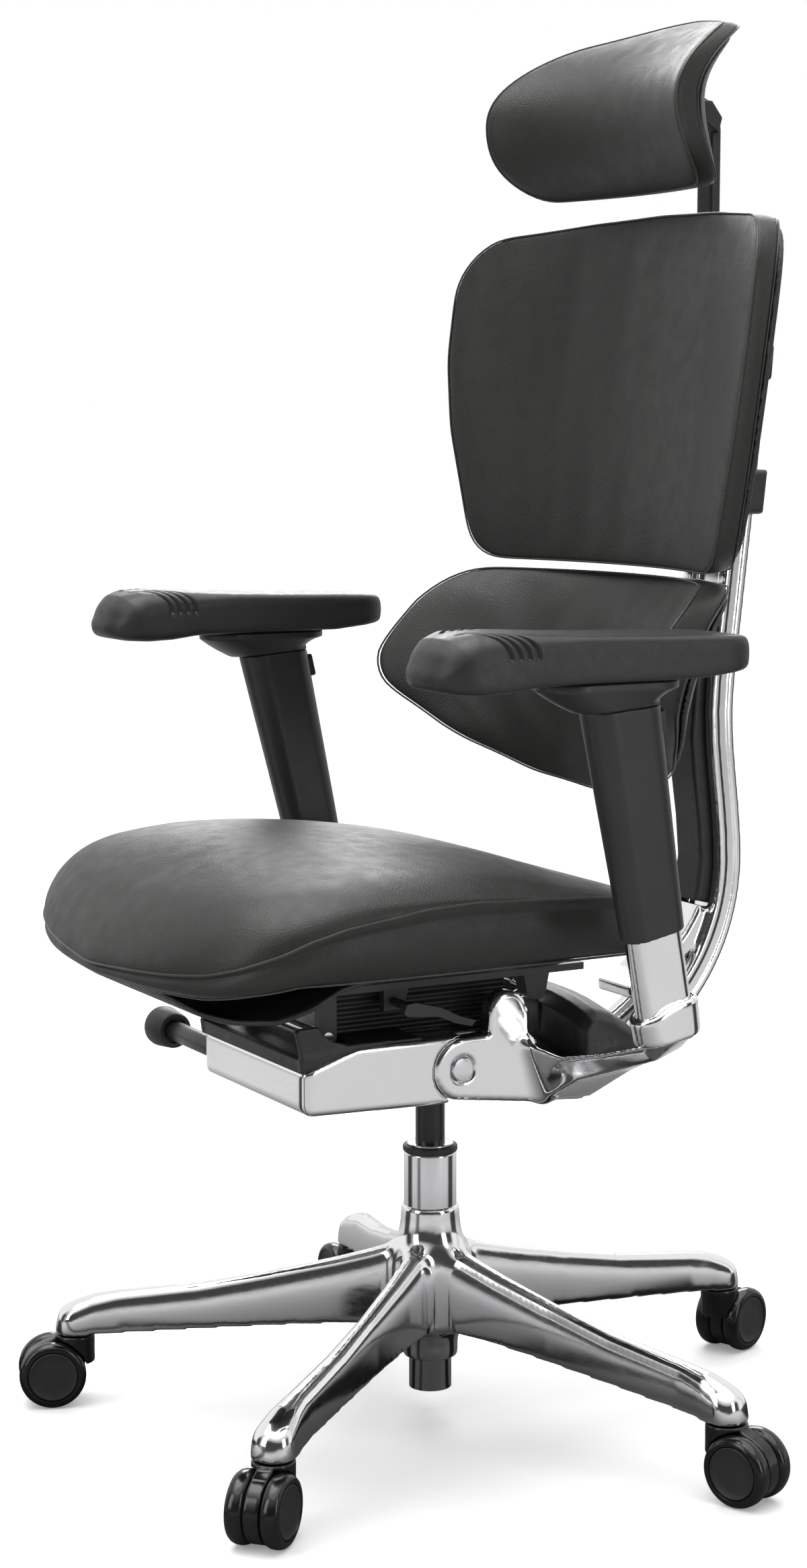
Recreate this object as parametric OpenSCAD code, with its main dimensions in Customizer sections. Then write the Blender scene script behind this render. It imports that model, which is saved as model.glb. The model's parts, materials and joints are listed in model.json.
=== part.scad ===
// High-back swivel office chair: five-arm cast base on twin-wheel casters, gas column,
// synchronous tilt mechanism, sliding seat, height-adjustable back, sprung lumbar pad,
// adjustable headrest and adjustable armrests.
// Millimetres, +Z up. The origin is on the floor, on the axis of the gas column.
// The sitter faces -Y, so the sitter's left side is +X.

/* [Base and casters] */
// Radius of the circle through the five caster stems
base_r = 344; // [286:1:413]
// Height of the caster bosses' lower face above the floor
boss_z = 68.5; // [68.5:0.5:82]
// Radius of a caster boss
boss_rad = 19; // [16:0.5:22]
// Direction of the first arm, from +X
base_yaw = 235.8; // [0:0.1:360]
// Height of the hub's top face above the floor
hub_top = 205.5; // [200:0.5:215]
// Half thickness of a base arm at its middle
arm_half = 11.5; // [9.6:0.5:14]
// Radius of a caster stem
stem_r = 5.5; // [4.6:0.1:6.6]
// Radius of a caster wheel
wheel_r = 32; // [26.5:0.5:32]
// Width of one wheel tread
wheel_w = 17; // [14:0.5:20]
// Distance from the stem axis to the wheel axle
trail = 22; // [19:0.5:26]
// Radius of the wheel axle
axle_r = 4; // [3.3:0.1:4.8]

/* [Gas column] */
// Radius of the outer column tube
tube_r = 25; // [21:0.5:30]
// Radius of the sliding pressure tube
rod_r = 14; // [11.7:0.1:16]
// Height of the outer tube's top edge
tube_top = 256; // [250:1:262]

/* [Tilt mechanism] */
// Half width of the mechanism housing and of the yoke's cheeks
mech_half = 105; // [98:1:112]
// Fore-and-aft place of the main pivot
pin_y = -25; // [-27:0.5:-23]
// Height of the main pivot
pin_z = 357; // [355:0.5:359]
// Radius of the main pivot pin
pin_r = 11; // [9:0.5:13]
// Fore-and-aft place of the front face
mech_front = -187; // [-200:1:-187]
// Radius of the tension crank's shaft
crank_r = 8; // [6.5:0.5:9]
// Radius of the tension knob
knob_r = 20; // [16:0.5:24]

/* [Seat] */
// Half width of the seat cushion
seat_half = 245; // [204:1:262]
// Foremost point of the seat cushion
seat_front = -348; // [-380:1:-330]
// Rearmost point of the seat cushion
seat_rear = 132; // [120:1:140]
// Height of the cushion's lower edge
seat_low = 474.5; // [470:0.5:480]
// Height of the cushion's crown above its lower edge
seat_crown = 88; // [73:1:105]

/* [Back and lumbar] */
// Half width of the backrest cushion at its widest
back_half = 262; // [240:1:270]
// Height of the backrest cushion's lower edge
back_low = 800; // [800:1:810]
// Height of the backrest cushion's upper edge at the centre
back_high = 1132; // [1120:1:1136]
// Padded thickness of the backrest cushion
back_pad = 36; // [30:1:40]
// Half width of the lumbar cushion
lumbar_half = 240; // [200:1:245]
// Lowest point of the lumbar cushion
lumbar_low = 588; // [570:1:600]

/* [Headrest] */
// Half width of the headrest
head_half = 164; // [137:1:197]
// Lowest point of the headrest
head_low = 1149; // [1149:1:1155]
// Highest point of the headrest
head_high = 1314; // [1300:1:1330]

/* [Armrests] */
// Distance of the armrest posts' top collars from the middle plane
arm_x = 322; // [312:1:350]
// Height of the top collars
arm_z = 705; // [695:1:712]
// Length of an armrest post's section, fore and aft
post_l = 53; // [44:1:56]
// Width of an armrest post's section, side to side
post_w = 26; // [22:1:28]
// Length of an armrest pad
pad_l = 314; // [262:1:377]
// Half width of an armrest pad
pad_half = 46; // [38:1:50]

/* [Clearances] */
// Radial clearance of a turning or sliding fit
fit = 0.05; // [0.02:0.01:0.1]
// Gap between pieces that move past each other
gap = 0.4; // [0.3:0.1:0.6]

/* [Hidden] */

$fn = 64;
ROUND = 32;
BIG = 1000;

// directions in which the casters trail, from +X
caster_yaw = [249.4, 310.4, 20, 111.5, 175];

// base
boss_top = boss_z + 32;
arm_tip_z = 111.5;
arm_root_z = 165;
arm_root_r = 41;
arm_tip_r = base_r - 44;
hub_low = 56;
hub_skirt = 88;
tube_foot = 25.4;
taper_high = 95;
taper_low = 72;
foot_r = tube_r - 5;
hub_r = tube_r + 11;

// gas column
bush_top = tube_top + 12.5;
cylinder_low = 140;
cylinder_top = 387.5;
button_top = 391.5;
rod_core = 5;

// mechanism
floor_z = 327;
wall = 6;
top_z = 388;
mid_half = 85;
mid_rear = 38;
cheek_in = mech_half - 19;
boss_ring = 29;
front_pivot = [-150, 395];
rear_pivot = [66, 420];
crank = [-168, 350];
crank_out = -207;
knob_end = -241;

// yoke, rails
rail_r = 205;
rail_c = [125, 515];
rail_deep = 26;
rail_in = 22;
rail_out = 36;
rail_slope = 0.115;
rail_straight = 690;
rail_top = 1000;
yoke_rear = 112;

// seat
plate_z = 433;
plate_t = 6.8;
plate_half = 84;
pan_z = plate_z + plate_t + gap;

// back: the pads are bowed about upright axes in front of the chair
back_bow = 500;
back_edge_bow = 430;
back_y = 224;
shell_t = 6;
lumbar_bow = 300;
lumbar_y = 182;
lumbar_pad = 35;
lumbar_high = 794;
head_bow = 400;
head_y = 186;
head_pad = 30;
post_y = 305;
post_low = 990;
head_pivot = [284, 1229];
tilt_pivot = [258, 1243];

// armrests
arm_lean = 11.86;
arm_splay = 2.6;
sleeve_l = 201;
slider_z = 728;
slider_t = 5;
swivel_y = -15;

// ---- shared shapes ----

// Points on an arc about c, from angle a0 to a1
function arc(c, r, a0, a1, n = 12) =
    [for (i = [0 : n]) c + r * [cos(a0 + (a1 - a0) * i / n), sin(a0 + (a1 - a0) * i / n)]];

// A (y, z) outline swept from x0 to x1
module side(x0, x1, pts)
    translate([x0, 0, 0]) rotate([90, 0, 90]) linear_extrude(x1 - x0) polygon(pts);

// The same on both sides of the middle plane
module sides(x0, x1, pts) {
    side(x0, x1, pts);
    side(-x1, -x0, pts);
}

// A round bar along X
module bar(x0, x1, p, r)
    translate([x0, p[0], p[1]]) rotate([0, 90, 0]) cylinder(h = x1 - x0, r = r);

module bars(x0, x1, p, r) {
    bar(x0, x1, p, r);
    bar(-x1, -x0, p, r);
}

// A slot-shaped section, long along Y
module stadium(l, w) {
    for (s = [-1, 1]) translate([0, s * (l - w) / 2]) circle(d = w);
    square([w, l - w], center = true);
}

module on_arm(k) rotate([0, 0, base_yaw + 72 * k]) children();

module at_stem(k) on_arm(k) translate([base_r, 0, 0])
    rotate([0, 0, caster_yaw[k] - base_yaw - 72 * k]) children();

// ---- base ----

function arm_line(r) =
    arm_tip_z + (arm_root_z - arm_tip_z)
    * pow(max(0, arm_tip_r - r) / (arm_tip_r - arm_root_r), 1.5);

arm_profile = concat(
    [[20, hub_skirt + 84]],
    [for (i = [0 : 12]) let (r = arm_root_r + (arm_tip_r - arm_root_r) * i / 12) [r, arm_line(r)]],
    [for (a = [9 : 9 : 90]) [arm_tip_r + (44 + boss_rad) * sin(a), 75 + 36.5 * pow(cos(a), 0.8)]],
    [[base_r, 70], [base_r - 19, 70], [220, 78], [77, hub_skirt], [20, hub_skirt + 5]]
);

function arm_side(r) =
    r < 60 ? 27 - (r - 20) * 0.28
    : r < 150 ? 15.8 - (r - 60) / 90 * (15.8 - arm_half)
    : arm_half + (r - 150) / (base_r - 150) * (boss_rad - 3 - arm_half);

arm_stations = [20, 40, 60, 90, 120, 150, 200, 250, base_r - 44, base_r - 15];

module arm_plan(inset) polygon(concat(
    [for (r = arm_stations) [r, arm_side(r) - inset]],
    [for (i = [len(arm_stations) - 1 : -1 : 0]) [arm_stations[i], inset - arm_side(arm_stations[i])]]
));

module base_star() color([0.78, 0.78, 0.8]) difference() {
    union() {
        rotate_extrude() polygon([
            [0, hub_low], [foot_r + 3.5, hub_low], [foot_r + 6.3, hub_low + 4],
            [foot_r + 6.3, hub_skirt], [hub_r, hub_skirt], [hub_r - 1.5, 150], [hub_r - 2.5, 167.5],
            [tube_r + 3.2, hub_top - 3], [tube_r + 2.2, hub_top], [0, hub_top]
        ]);
        for (k = [0 : 4]) on_arm(k) {
            intersection() {
                rotate([90, 0, 0]) linear_extrude(80, center = true) polygon(arm_profile);
                union() {
                    linear_extrude(300) arm_plan(0);
                    translate([base_r, 0, 0]) cylinder(h = 300, r = boss_rad);
                }
            }
            translate([base_r, 0, boss_z]) cylinder(h = 26, r = boss_rad);
        }
    }
    // hollow undersides of the arms
    for (k = [0 : 4]) on_arm(k) intersection() {
        translate([0, 0, -7]) rotate([90, 0, 0]) linear_extrude(80, center = true)
            polygon(concat(arm_profile, [[20, 0]]));
        translate([0, 0, 40]) linear_extrude(120) difference() {
            arm_plan(4.5);
            circle(r = hub_r + 10);
            translate([base_r, 0]) circle(r = boss_rad + 3);
        }
    }
    // tapered seat for the column
    rotate_extrude() polygon([
        [0, hub_low - 1], [foot_r + fit, hub_low - 1], [foot_r + fit, taper_low],
        [tube_r + fit, taper_high], [tube_r + fit, hub_top + 1], [0, hub_top + 1]
    ]);
    for (k = [0 : 4]) on_arm(k) translate([base_r, 0, boss_z - 1])
        cylinder(h = boss_top - boss_z - 4, r = stem_r + fit);
}

module caster_stems() color([0.6, 0.6, 0.62])
    for (k = [0 : 4]) at_stem(k) {
        translate([0, 0, 42]) cylinder(h = boss_top - 48, r = stem_r);
    }

module caster_fork(k) color([0.05, 0.05, 0.05]) at_stem(k) {
    axle_z = wheel_r;
    inner = 7.4;
    difference() {
        union() {
            translate([0, 0, 26]) cylinder(h = boss_z - 26.6, r = boss_rad);
            rotate([90, 0, 0]) linear_extrude(2 * inner - 0.4, center = true) polygon(concat(
                arc([trail, axle_z], 11, -90, 90, 16),
                [[trail - 4, axle_z + 29], [0, boss_z - 4], [0, axle_z - 6]]
            ));
        }
        for (s = [-1, 1]) translate([trail, s * (inner + 20), axle_z]) rotate([90, 0, 0])
            cylinder(h = 40, r = wheel_r + 1.2, center = true);
        translate([0, 0, 41]) cylinder(h = 60, r = stem_r + fit);
    }
    translate([trail, 0, axle_z]) rotate([90, 0, 0])
        cylinder(h = 2 * (inner + wheel_w - 3), r = axle_r, center = true);
}

module caster_wheel(k, s) color([0.04, 0.04, 0.04]) at_stem(k) {
    inner = 7.8;
    outer = inner + wheel_w;
    translate([trail, 0, wheel_r]) rotate([-90 * s, 0, 0]) rotate_extrude($fn = 96) polygon(concat(
        [[axle_r + fit, inner], [wheel_r - 8, inner]],
        arc([wheel_r - 3, inner + 3], 3, -90, 0, 4),
        arc([wheel_r - 5, outer - 5], 5, 0, 90, 6),
        [[24, outer], [23, outer - 1.2], [0, outer - 1.2], [0, outer - 2.6], [axle_r + fit, outer - 2.6]]
    ));
}

// ---- gas column ----

module column_tube() color([0.85, 0.85, 0.86]) difference() {
    rotate_extrude() polygon([
        [0, tube_foot], [foot_r - 2.5, tube_foot], [foot_r, tube_foot + 3], [foot_r, taper_low],
        [tube_r, taper_high], [tube_r, tube_top], [0, tube_top]
    ]);
    rotate_extrude() polygon([
        [0, tube_foot + 4], [foot_r - 1.8, tube_foot + 4], [foot_r - 1.8, taper_low + 2],
        [tube_r - 1.6, taper_high + 2], [tube_r - 1.6, tube_top + 1], [0, tube_top + 1]
    ]);
    translate([0, 0, tube_foot - 1]) cylinder(h = 8, r = rod_core + 0.3);
}

module column_bush() {
    color([0.05, 0.05, 0.05]) rotate_extrude() polygon([
        [rod_r + fit, tube_top - 60], [tube_r - 1.6 - fit, tube_top - 60],
        [tube_r - 1.6 - fit, tube_top], [tube_r + 1, tube_top], [tube_r + 1, bush_top - 2],
        [tube_r - 1, bush_top], [rod_r + fit, bush_top]
    ]);
    color([0.85, 0.85, 0.86]) rotate_extrude() polygon([
        [rod_r + 1, bush_top], [tube_r - 2.5, bush_top], [tube_r - 2.5, bush_top + 1.2],
        [rod_r + 1, bush_top + 1.2]
    ]);
}

bearing_z = tube_foot + 4;
bearing_r = 12;

module thrust_bearing() color([0.7, 0.7, 0.72]) {
    for (z = [bearing_z, bearing_z + 6.2])
        rotate_extrude() polygon([
            [rod_core + 0.5, z], [bearing_r + 3, z], [bearing_r + 3, z + 1.6], [rod_core + 0.5, z + 1.6]
        ]);
    for (a = [0 : 45 : 315]) rotate([0, 0, a])
        translate([bearing_r - 1.5, 0, bearing_z + 3.9]) sphere(r = 2.2, $fn = 24);
}

module gas_rod() color([0.75, 0.75, 0.78]) {
    rotate_extrude() polygon([
        [0, 21.5], [rod_core, 21.5], [rod_core, bearing_z + 8], [9, bearing_z + 8],
        [9, bearing_z + 12], [rod_core, bearing_z + 12], [rod_core, 222],
        [rod_r - 1.5 - fit, 222], [rod_r - 1.5 - fit, 236], [0, 236]
    ]);
    // clip under the column's foot
    rotate_extrude() polygon([
        [rod_core + 0.02, 22.8], [9, 22.8], [9, tube_foot - 0.3], [rod_core + 0.02, tube_foot - 0.3]
    ]);
}

module gas_cylinder() color([0.06, 0.06, 0.06]) rotate_extrude() polygon([
    [rod_core + fit, cylinder_low], [rod_r - 1, cylinder_low], [rod_r, cylinder_low + 1],
    [rod_r, cylinder_top - 3], [rod_r - 2, cylinder_top], [4 + fit, cylinder_top],
    [4 + fit, cylinder_top - 22], [0, cylinder_top - 22], [0, 296], [rod_r - 1.5, 296],
    [rod_r - 1.5, cylinder_low + 6], [rod_core + fit, cylinder_low + 6]
]);

module release_button() color([0.7, 0.7, 0.72])
    translate([0, 0, button_top - 18]) cylinder(h = 18, r = 4);

// ---- tilt mechanism ----

housing_side = concat(
    arc([mech_front + 12, floor_z + 15], 12, 180, 250, 5),
    [[-60, floor_z], [pin_y, floor_z], [pin_y, top_z], [-133, top_z],
     [mech_front + 3, 371], [mech_front, 367]]
);

module mech_housing() color([0.78, 0.78, 0.8]) difference() {
    union() {
        difference() {
            union() {
                side(-mech_half, mech_half, housing_side);
                side(-mid_half, mid_half, [
                    [-60, floor_z], [mid_rear, floor_z], [mid_rear, top_z], [-60, top_z]
                ]);
            }
            // front chamber, open at the top
            side(-mech_half + wall, mech_half - wall, [
                [mech_front + wall, floor_z + wall], [-66, floor_z + wall], [-66, top_z + 9],
                [mech_front + wall, top_z + 9]
            ]);
            // rear chamber, closed on top
            side(-70, 70, [
                [-60, floor_z + wall], [mid_rear - wall, floor_z + wall],
                [mid_rear - wall, top_z - 5], [-60, top_z - 5]
            ]);
        }
        // lugs of the seat's front pivot
        sides(60, 70, concat(
            [[-159, floor_z + 2], [-141, floor_z + 2]],
            arc(front_pivot, 9, 0, 180, 8)
        ));
        // bearing for the crank's inner end
        bar(mech_half - 16, mech_half - 3, crank, crank_r + 5);
        // lugs of the height lever
        for (y = [-44, -22]) translate([-46, y, top_z - 1]) cube([12, 6, 19]);
        translate([0, 0, floor_z]) cylinder(h = top_z - floor_z, r = rod_r + 12);
    }
    // room for the yoke's cheeks round the main pivot
    bars(mid_half + 0.5, mech_half + 1, [pin_y, pin_z], boss_ring + gap);
    sides(mid_half + 0.5, mech_half + 1, [
        [pin_y, pin_z], [pin_y - 15.8, pin_z - 25.2], [pin_y + 4, floor_z - 9],
        [pin_y + 99, floor_z - 9], [pin_y + 99, top_z + 9], [pin_y, top_z + 9]
    ]);
    bars(30, mid_half + 1, [pin_y, pin_z], pin_r + fit);
    bars(50, 75, front_pivot, 5 + fit);
    bar(-mech_half - 1, -mech_half + 9, crank, crank_r + fit);
    bar(mech_half - 17, mech_half - 6, crank, crank_r + fit);
    bar(-mech_half - 1, -mech_half + 9, [-90, 370], 5 + fit);
    translate([-40, -60, 400]) rotate([-90, 0, 0]) cylinder(h = 50, r = 3 + fit);
    translate([0, 0, floor_z - 1]) cylinder(h = 90, r = rod_r + fit);
}

module mech_cover() color([0.06, 0.06, 0.06]) difference() {
    union() {
        side(-mech_half + 1, mech_half - 1, [
            [mech_front, 368], [mech_front + 3, 371.2], [-133, top_z + 0.2], [-67, top_z + 0.2],
            [-67, top_z + 3.5], [-130, top_z + 3.5], [-146, top_z + 0.5], [mech_front + 3, 384],
            [mech_front - 1, 382]
        ]);
        sides(mech_half - 5, mech_half - 1, [
            [mech_front, 382], [mech_front - 7, 410], [mech_front + 16, 411], [-150, 397],
            [-67, top_z + 3.5], [-136, top_z + 1.5], [mech_front + 4, 382]
        ]);
    }
    for (s = [-1, 1]) translate([s * 71 - 13, -168, 340]) cube([26, 36, 90]);
}

module main_pins() color([0.75, 0.75, 0.77])
    bars(30, mech_half + 0.3, [pin_y, pin_z], pin_r);

spring_wire = 2.5;
spring_coil = pin_r + gap + spring_wire;
spring_turns = 6;
spring_x0 = 34;
spring_pitch = 5.4;

// A helical wire about the main pivot axis, as one closed skin
module coil_spring(side_sign) {
    rings = 14 * spring_turns;
    sides_n = 8;
    pts = [for (i = [0 : rings]) for (j = [0 : sides_n - 1])
        let (a = 360 * spring_turns * i / rings, b = 360 * j / sides_n,
             rad = spring_coil + spring_wire * cos(b))
        [side_sign * (spring_x0 + spring_pitch * spring_turns * i / rings + spring_wire * sin(b)),
         pin_y + rad * cos(a), pin_z + rad * sin(a)]];
    skin = [for (i = [0 : rings - 1]) for (j = [0 : sides_n - 1])
        let (p = i * sides_n + j, q = i * sides_n + (j + 1) % sides_n)
        side_sign > 0 ? [p, q, q + sides_n, p + sides_n] : [p + sides_n, q + sides_n, q, p]];
    first = [for (j = [0 : sides_n - 1]) j];
    last = [for (j = [0 : sides_n - 1]) rings * sides_n + j];
    back_to_front = [for (j = [sides_n - 1 : -1 : 0]) j];
    last_back = [for (j = [sides_n - 1 : -1 : 0]) rings * sides_n + j];
    polyhedron(pts, concat(skin, side_sign > 0 ? [back_to_front, last] : [first, last_back]));
}

module tilt_springs() color([0.3, 0.3, 0.32]) {
    coil_spring(1);
    coil_spring(-1);
}

module tension_shaft() color([0.12, 0.12, 0.12]) {
    bar(-mech_half - gap, mech_half - 7, crank, crank_r);
    bar(crank_out, -mech_half - gap, crank, crank_r + 2);
}

module tension_knob() color([0.08, 0.08, 0.08]) translate([0, crank[0], crank[1]])
    rotate([0, 90, 0]) rotate_extrude() polygon(concat(
        [[0, knob_end], [knob_r - 6, knob_end]],
        arc([knob_r - 5, knob_end + 5], 5, -90, 0, 5),
        [[knob_r - 3.5, crank_out - 2], [knob_r - 5, crank_out], [0, crank_out]]
    ));

module height_lever() color([0.07, 0.07, 0.07]) {
    bar(-205, -22, [-30, 400], 5);
    translate([-32, -35, 392.5]) cube([12, 10, 8]);
    translate([-32, -36, 392.4]) cube([40, 42, 4.6]);
    translate([-40, -44, 400]) rotate([-90, 0, 0]) cylinder(h = 28, r = 3);
    translate([-236, -42, 391]) cube([38, 24, 7]);
    translate([-208, -37, 393]) cube([10, 14, 8]);
}

module tilt_lever() color([0.07, 0.07, 0.07]) {
    bar(-190, -mech_half + 12, [-90, 370], 5);
    side(-196, -188, [[-98, 362], [-84, 362], [-84, 376], [-140, 384], [-142, 378]]);
}

// ---- yoke, rails ----

yoke_side = concat(
    arc([pin_y, pin_z], boss_ring, 90, 270, 16),
    [[64, 316], [76, 330], [76, 358], [46, 384], [46, 405]],
    arc([23, 405], 20, 10, 170, 10),
    [[2, top_z - 1]]
);

module arm_frame(s)
    translate([s * arm_x, -2, arm_z]) rotate([arm_lean, s * arm_splay, 0]) children();

module arm_socket(s) arm_frame(s) translate([0, 0, -292]) linear_extrude(30)
    stadium(post_l + 11, post_w + 13);

module yoke() color([0.78, 0.78, 0.8]) difference() {
    union() {
        sides(cheek_in, mech_half, yoke_side);
        // cross body behind the housing
        side(-cheek_in - 1, cheek_in + 1, [
            [52, 330], [64, 316], [yoke_rear, 312], [yoke_rear, 346], [76, 358], [56, 358]
        ]);
        // ears of the seat's rear pivot
        sides(44, 62, concat([[52, 350], [90, 350]], arc(rear_pivot, 15, 0, 180, 10)));
        for (s = [-1, 1]) {
            arm_socket(s);
            hull() {
                translate([s * (mech_half - 9.5) - 9.5, 52, 318]) cube([19, 28, 36]);
                arm_frame(s) translate([-s * 6, 0, -300]) linear_extrude(24) stadium(50, 22, $fn = ROUND);
            }
        }
    }
    for (s = [-1, 1]) arm_frame(s) translate([0, 0, -284]) linear_extrude(40)
        stadium(post_l + 2 * fit, post_w + 2 * fit);
    bars(cheek_in - 1, mech_half + 1, [pin_y, pin_z], pin_r + fit);
    // slot in each ear for the seat's rear pin
    for (t = [0 : 0.25 : 1]) bars(40, 66, rear_pivot - t * [15.4, 5.6], 7);
}

module arm_posts() color([0.85, 0.85, 0.86])
    for (s = [-1, 1]) arm_frame(s) translate([0, 0, -284]) linear_extrude(219)
        stadium(post_l, post_w);

// Rear edge of the rails: level, round a quarter circle, a shallow S, then straight
function hermite(y0, y1, m0, m1, t) =
    y0 * (2 * t * t * t - 3 * t * t + 1) + y1 * (3 * t * t - 2 * t * t * t)
    + m0 * (t * t * t - 2 * t * t + t) + m1 * (t * t * t - t * t);

rail_y0 = rail_c[0] + rail_r;
rail_y1 = rail_y0 - 10.7;
function rail_y(z) = z > rail_straight
    ? rail_y1 + rail_slope * (z - rail_straight)
    : hermite(rail_y0, rail_y1, 0, rail_slope * (rail_straight - rail_c[1]),
              (z - rail_c[1]) / (rail_straight - rail_c[1]));

rail_heights = [555, 595, 635, rail_straight, rail_top];

function rail_edge(inset, low, high_list) = concat(
    low, arc(rail_c, rail_r - inset, -88, 0, 18),
    [for (z = high_list) [rail_y(z) - inset, z]]
);

function reversed(v) = [for (i = [len(v) - 1 : -1 : 0]) v[i]];

function rail_band(outer, inner) = concat(
    rail_edge(outer, [[yoke_rear, 310 + outer]], rail_heights),
    reversed(rail_edge(inner, [[yoke_rear, 310 + inner]], rail_heights))
);

tongue = concat(
    arc(rail_c, 139, -58, -58, 1),
    [for (i = [0 : 8]) rail_c + (142 + 24 * i / 8) * [cos(-56 + 41 * i / 8), sin(-56 + 41 * i / 8)]],
    [for (i = [8 : -1 : 0]) rail_c + (153 + 33 * i / 8) * [cos(-58 + 41 * i / 8), sin(-58 + 41 * i / 8)]]
);

module back_rails() color([0.85, 0.85, 0.86]) {
    sides(rail_in, rail_out, rail_band(0, rail_deep));
    // web between the ribs
    side(-rail_in - 1, rail_in + 1, rail_band(8, 16));
    // tongue that curls forward under the seat's rear edge
    side(-30, 30, tongue);
}

insert_heights = [515, 555, 595, 635, rail_straight, 735];
insert_bulge = [12, 13, 14, 13.5, 10, 1];

module spine_insert() color([0.05, 0.05, 0.05]) side(-rail_in + gap, rail_in - gap, concat(
    arc(rail_c, rail_r - 16 - gap, -14, -3, 4),
    [for (z = insert_heights) [rail_y(z) - 16 - gap, z]],
    [for (i = [5 : -1 : 0]) [rail_y(insert_heights[i]) - rail_deep - insert_bulge[i], insert_heights[i]]],
    arc(rail_c, rail_r - rail_deep - 13, -3, -14, 4)
));

// ---- seat ----

module seat_plate() color([0.08, 0.08, 0.08]) difference() {
    union() {
        difference() {
            translate([-plate_half, -165, plate_z]) cube([2 * plate_half, 282, plate_t]);
            // room for the yoke's ears
            translate([-64, 38, plate_z - 1]) cube([128, 90, plate_t + 2]);
        }
        sides(72, 80, concat(
            arc(front_pivot, 9, 180, 360, 8),
            [[front_pivot[0] + 9, plate_z + 1], [front_pivot[0] - 9, plate_z + 1]]
        ));
        sides(65, 83, concat(
            arc(rear_pivot, 11, 180, 360, 10),
            [[rear_pivot[0] + 14, plate_z + 1], [rear_pivot[0] - 14, plate_z + 1]]
        ));
        side(70, 78, [[-92, plate_z + 1], [-92, 413], [-72, 413], [-66, plate_z + 1]]);
    }
    bars(71, 81, front_pivot, 5 + fit);
    bars(64, 81, rear_pivot, 5 + fit);
    bar(69, 79, [-82, 421], 4 + fit);
}

module seat_pins() color([0.7, 0.7, 0.72]) {
    bar(-81, 81, front_pivot, 5);
    bars(43, 80.8, rear_pivot, 5);
}

module slide_lever() color([0.06, 0.06, 0.06]) {
    bar(66, mech_half + 11, [-82, 421], 4);
    side(mech_half + 2, mech_half + 11, [
        [-92, 417], [-88, 414], [-56, 411], [-38, 403], [-22, 399], [-18, 404], [-34, 409],
        [-54, 419], [-80, 426], [-89, 425]
    ]);
}

pan_half = seat_half - 49;

module seat_pan() color([0.07, 0.07, 0.07]) {
    intersection() {
        side(-pan_half, pan_half, [
            [-196, pan_z + 2], [-150, pan_z], [64, pan_z], [116, pan_z + 22],
            [116, seat_low - gap], [-196, seat_low - gap]
        ]);
        rotate([90, 0, 0]) linear_extrude(2 * BIG, center = true) polygon([
            [-104, pan_z], [104, pan_z], [pan_half, seat_low - 8], [pan_half, seat_low],
            [-pan_half, seat_low], [-pan_half, seat_low - 8]
        ]);
    }
    side(-pan_half + 31, pan_half - 31, [
        [-196, pan_z + 2], [-220, 425], [-250, 421], [-275, 428], [-298, 446], [-300, 450],
        [-294, 450], [-272, 434], [-250, 427], [-222, 431], [-196, pan_z + 8]
    ]);
}

seat_top = seat_low + seat_crown;
seat_profile = concat(
    [[seat_front + 14, 458], [seat_front + 60, 461], [-250, seat_low], [seat_rear - 8, seat_low]],
    arc([seat_rear - 22, seat_low + 26], 22, -40, 84, 8),
    [[40, seat_top - 14], [-60, seat_top - 3], [-160, seat_top + 5], [-230, seat_top],
     [-285, seat_top - 18], [-320, seat_top - 42], [seat_front + 9, seat_top - 66],
     [seat_front, 476], [seat_front + 3, 464]]
);

// Front view of the cushion: highest in the middle, with rounded shoulders
seat_shoulder = concat(
    [[-seat_half, 450], [seat_half, 450]],
    arc([seat_half - 44, seat_top - 60], 44, 0, 62, 5),
    arc([0, seat_top + 6 - 800], 800, 79, 101, 10),
    arc([-seat_half + 44, seat_top - 60], 44, 118, 180, 5)
);

module seat_cushion() color([0.07, 0.07, 0.07]) intersection() {
    side(-seat_half, seat_half, seat_profile);
    rotate([90, 0, 0]) linear_extrude(2 * BIG, center = true) polygon(seat_shoulder);
    linear_extrude(BIG) polygon(concat(
        arc([seat_half - 130, seat_front + 130], 130, 0, -75, 10),
        arc([-seat_half + 130, seat_front + 130], 130, -105, -180, 10),
        arc([-seat_half + 60, seat_rear - 60], 60, 180, 90, 6),
        arc([seat_half - 60, seat_rear - 60], 60, 90, 0, 6)
    ));
}

// ---- back, lumbar, headrest ----

// A bowed surface is [bow, y]: an upright axis lies bow in front of y, and the surface's radius
// about it is bow plus an offset that changes with height, given as [offset, height] points
module bow_solid(surface, line) translate([0, surface[1] - surface[0], 0])
    rotate_extrude($fn = 160) polygon(concat(
        [[0, line[0][1]]],
        [for (p = line) [surface[0] + p[0], p[1]]],
        [[0, line[len(line) - 1][1]]]
    ));

// What lies between a front and a rear surface, cut to an outline seen from the front
module bowed(front, rear, line, outline) intersection() {
    last = len(line) - 1;
    difference() {
        bow_solid(rear, line);
        // the front surface runs on a little past both ends
        bow_solid(front, concat(
            [line[0] - [0, 1]], [for (i = [1 : last - 1]) line[i]], [line[last] + [0, 1]]
        ));
    }
    translate([0, BIG, 0]) rotate([90, 0, 0]) linear_extrude(BIG) polygon(outline);
}

// A surface moved back by d
function behind(surface, d) = [surface[0] + d, surface[1] + d];

back_front = [back_bow, back_y];
back_rear = [back_edge_bow, back_y + back_pad];
back_line = [
    for (z = [back_low - 9, (back_low + back_high) / 2, back_high + 20])
        [rail_slope * (z - 905), z]
];

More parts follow.
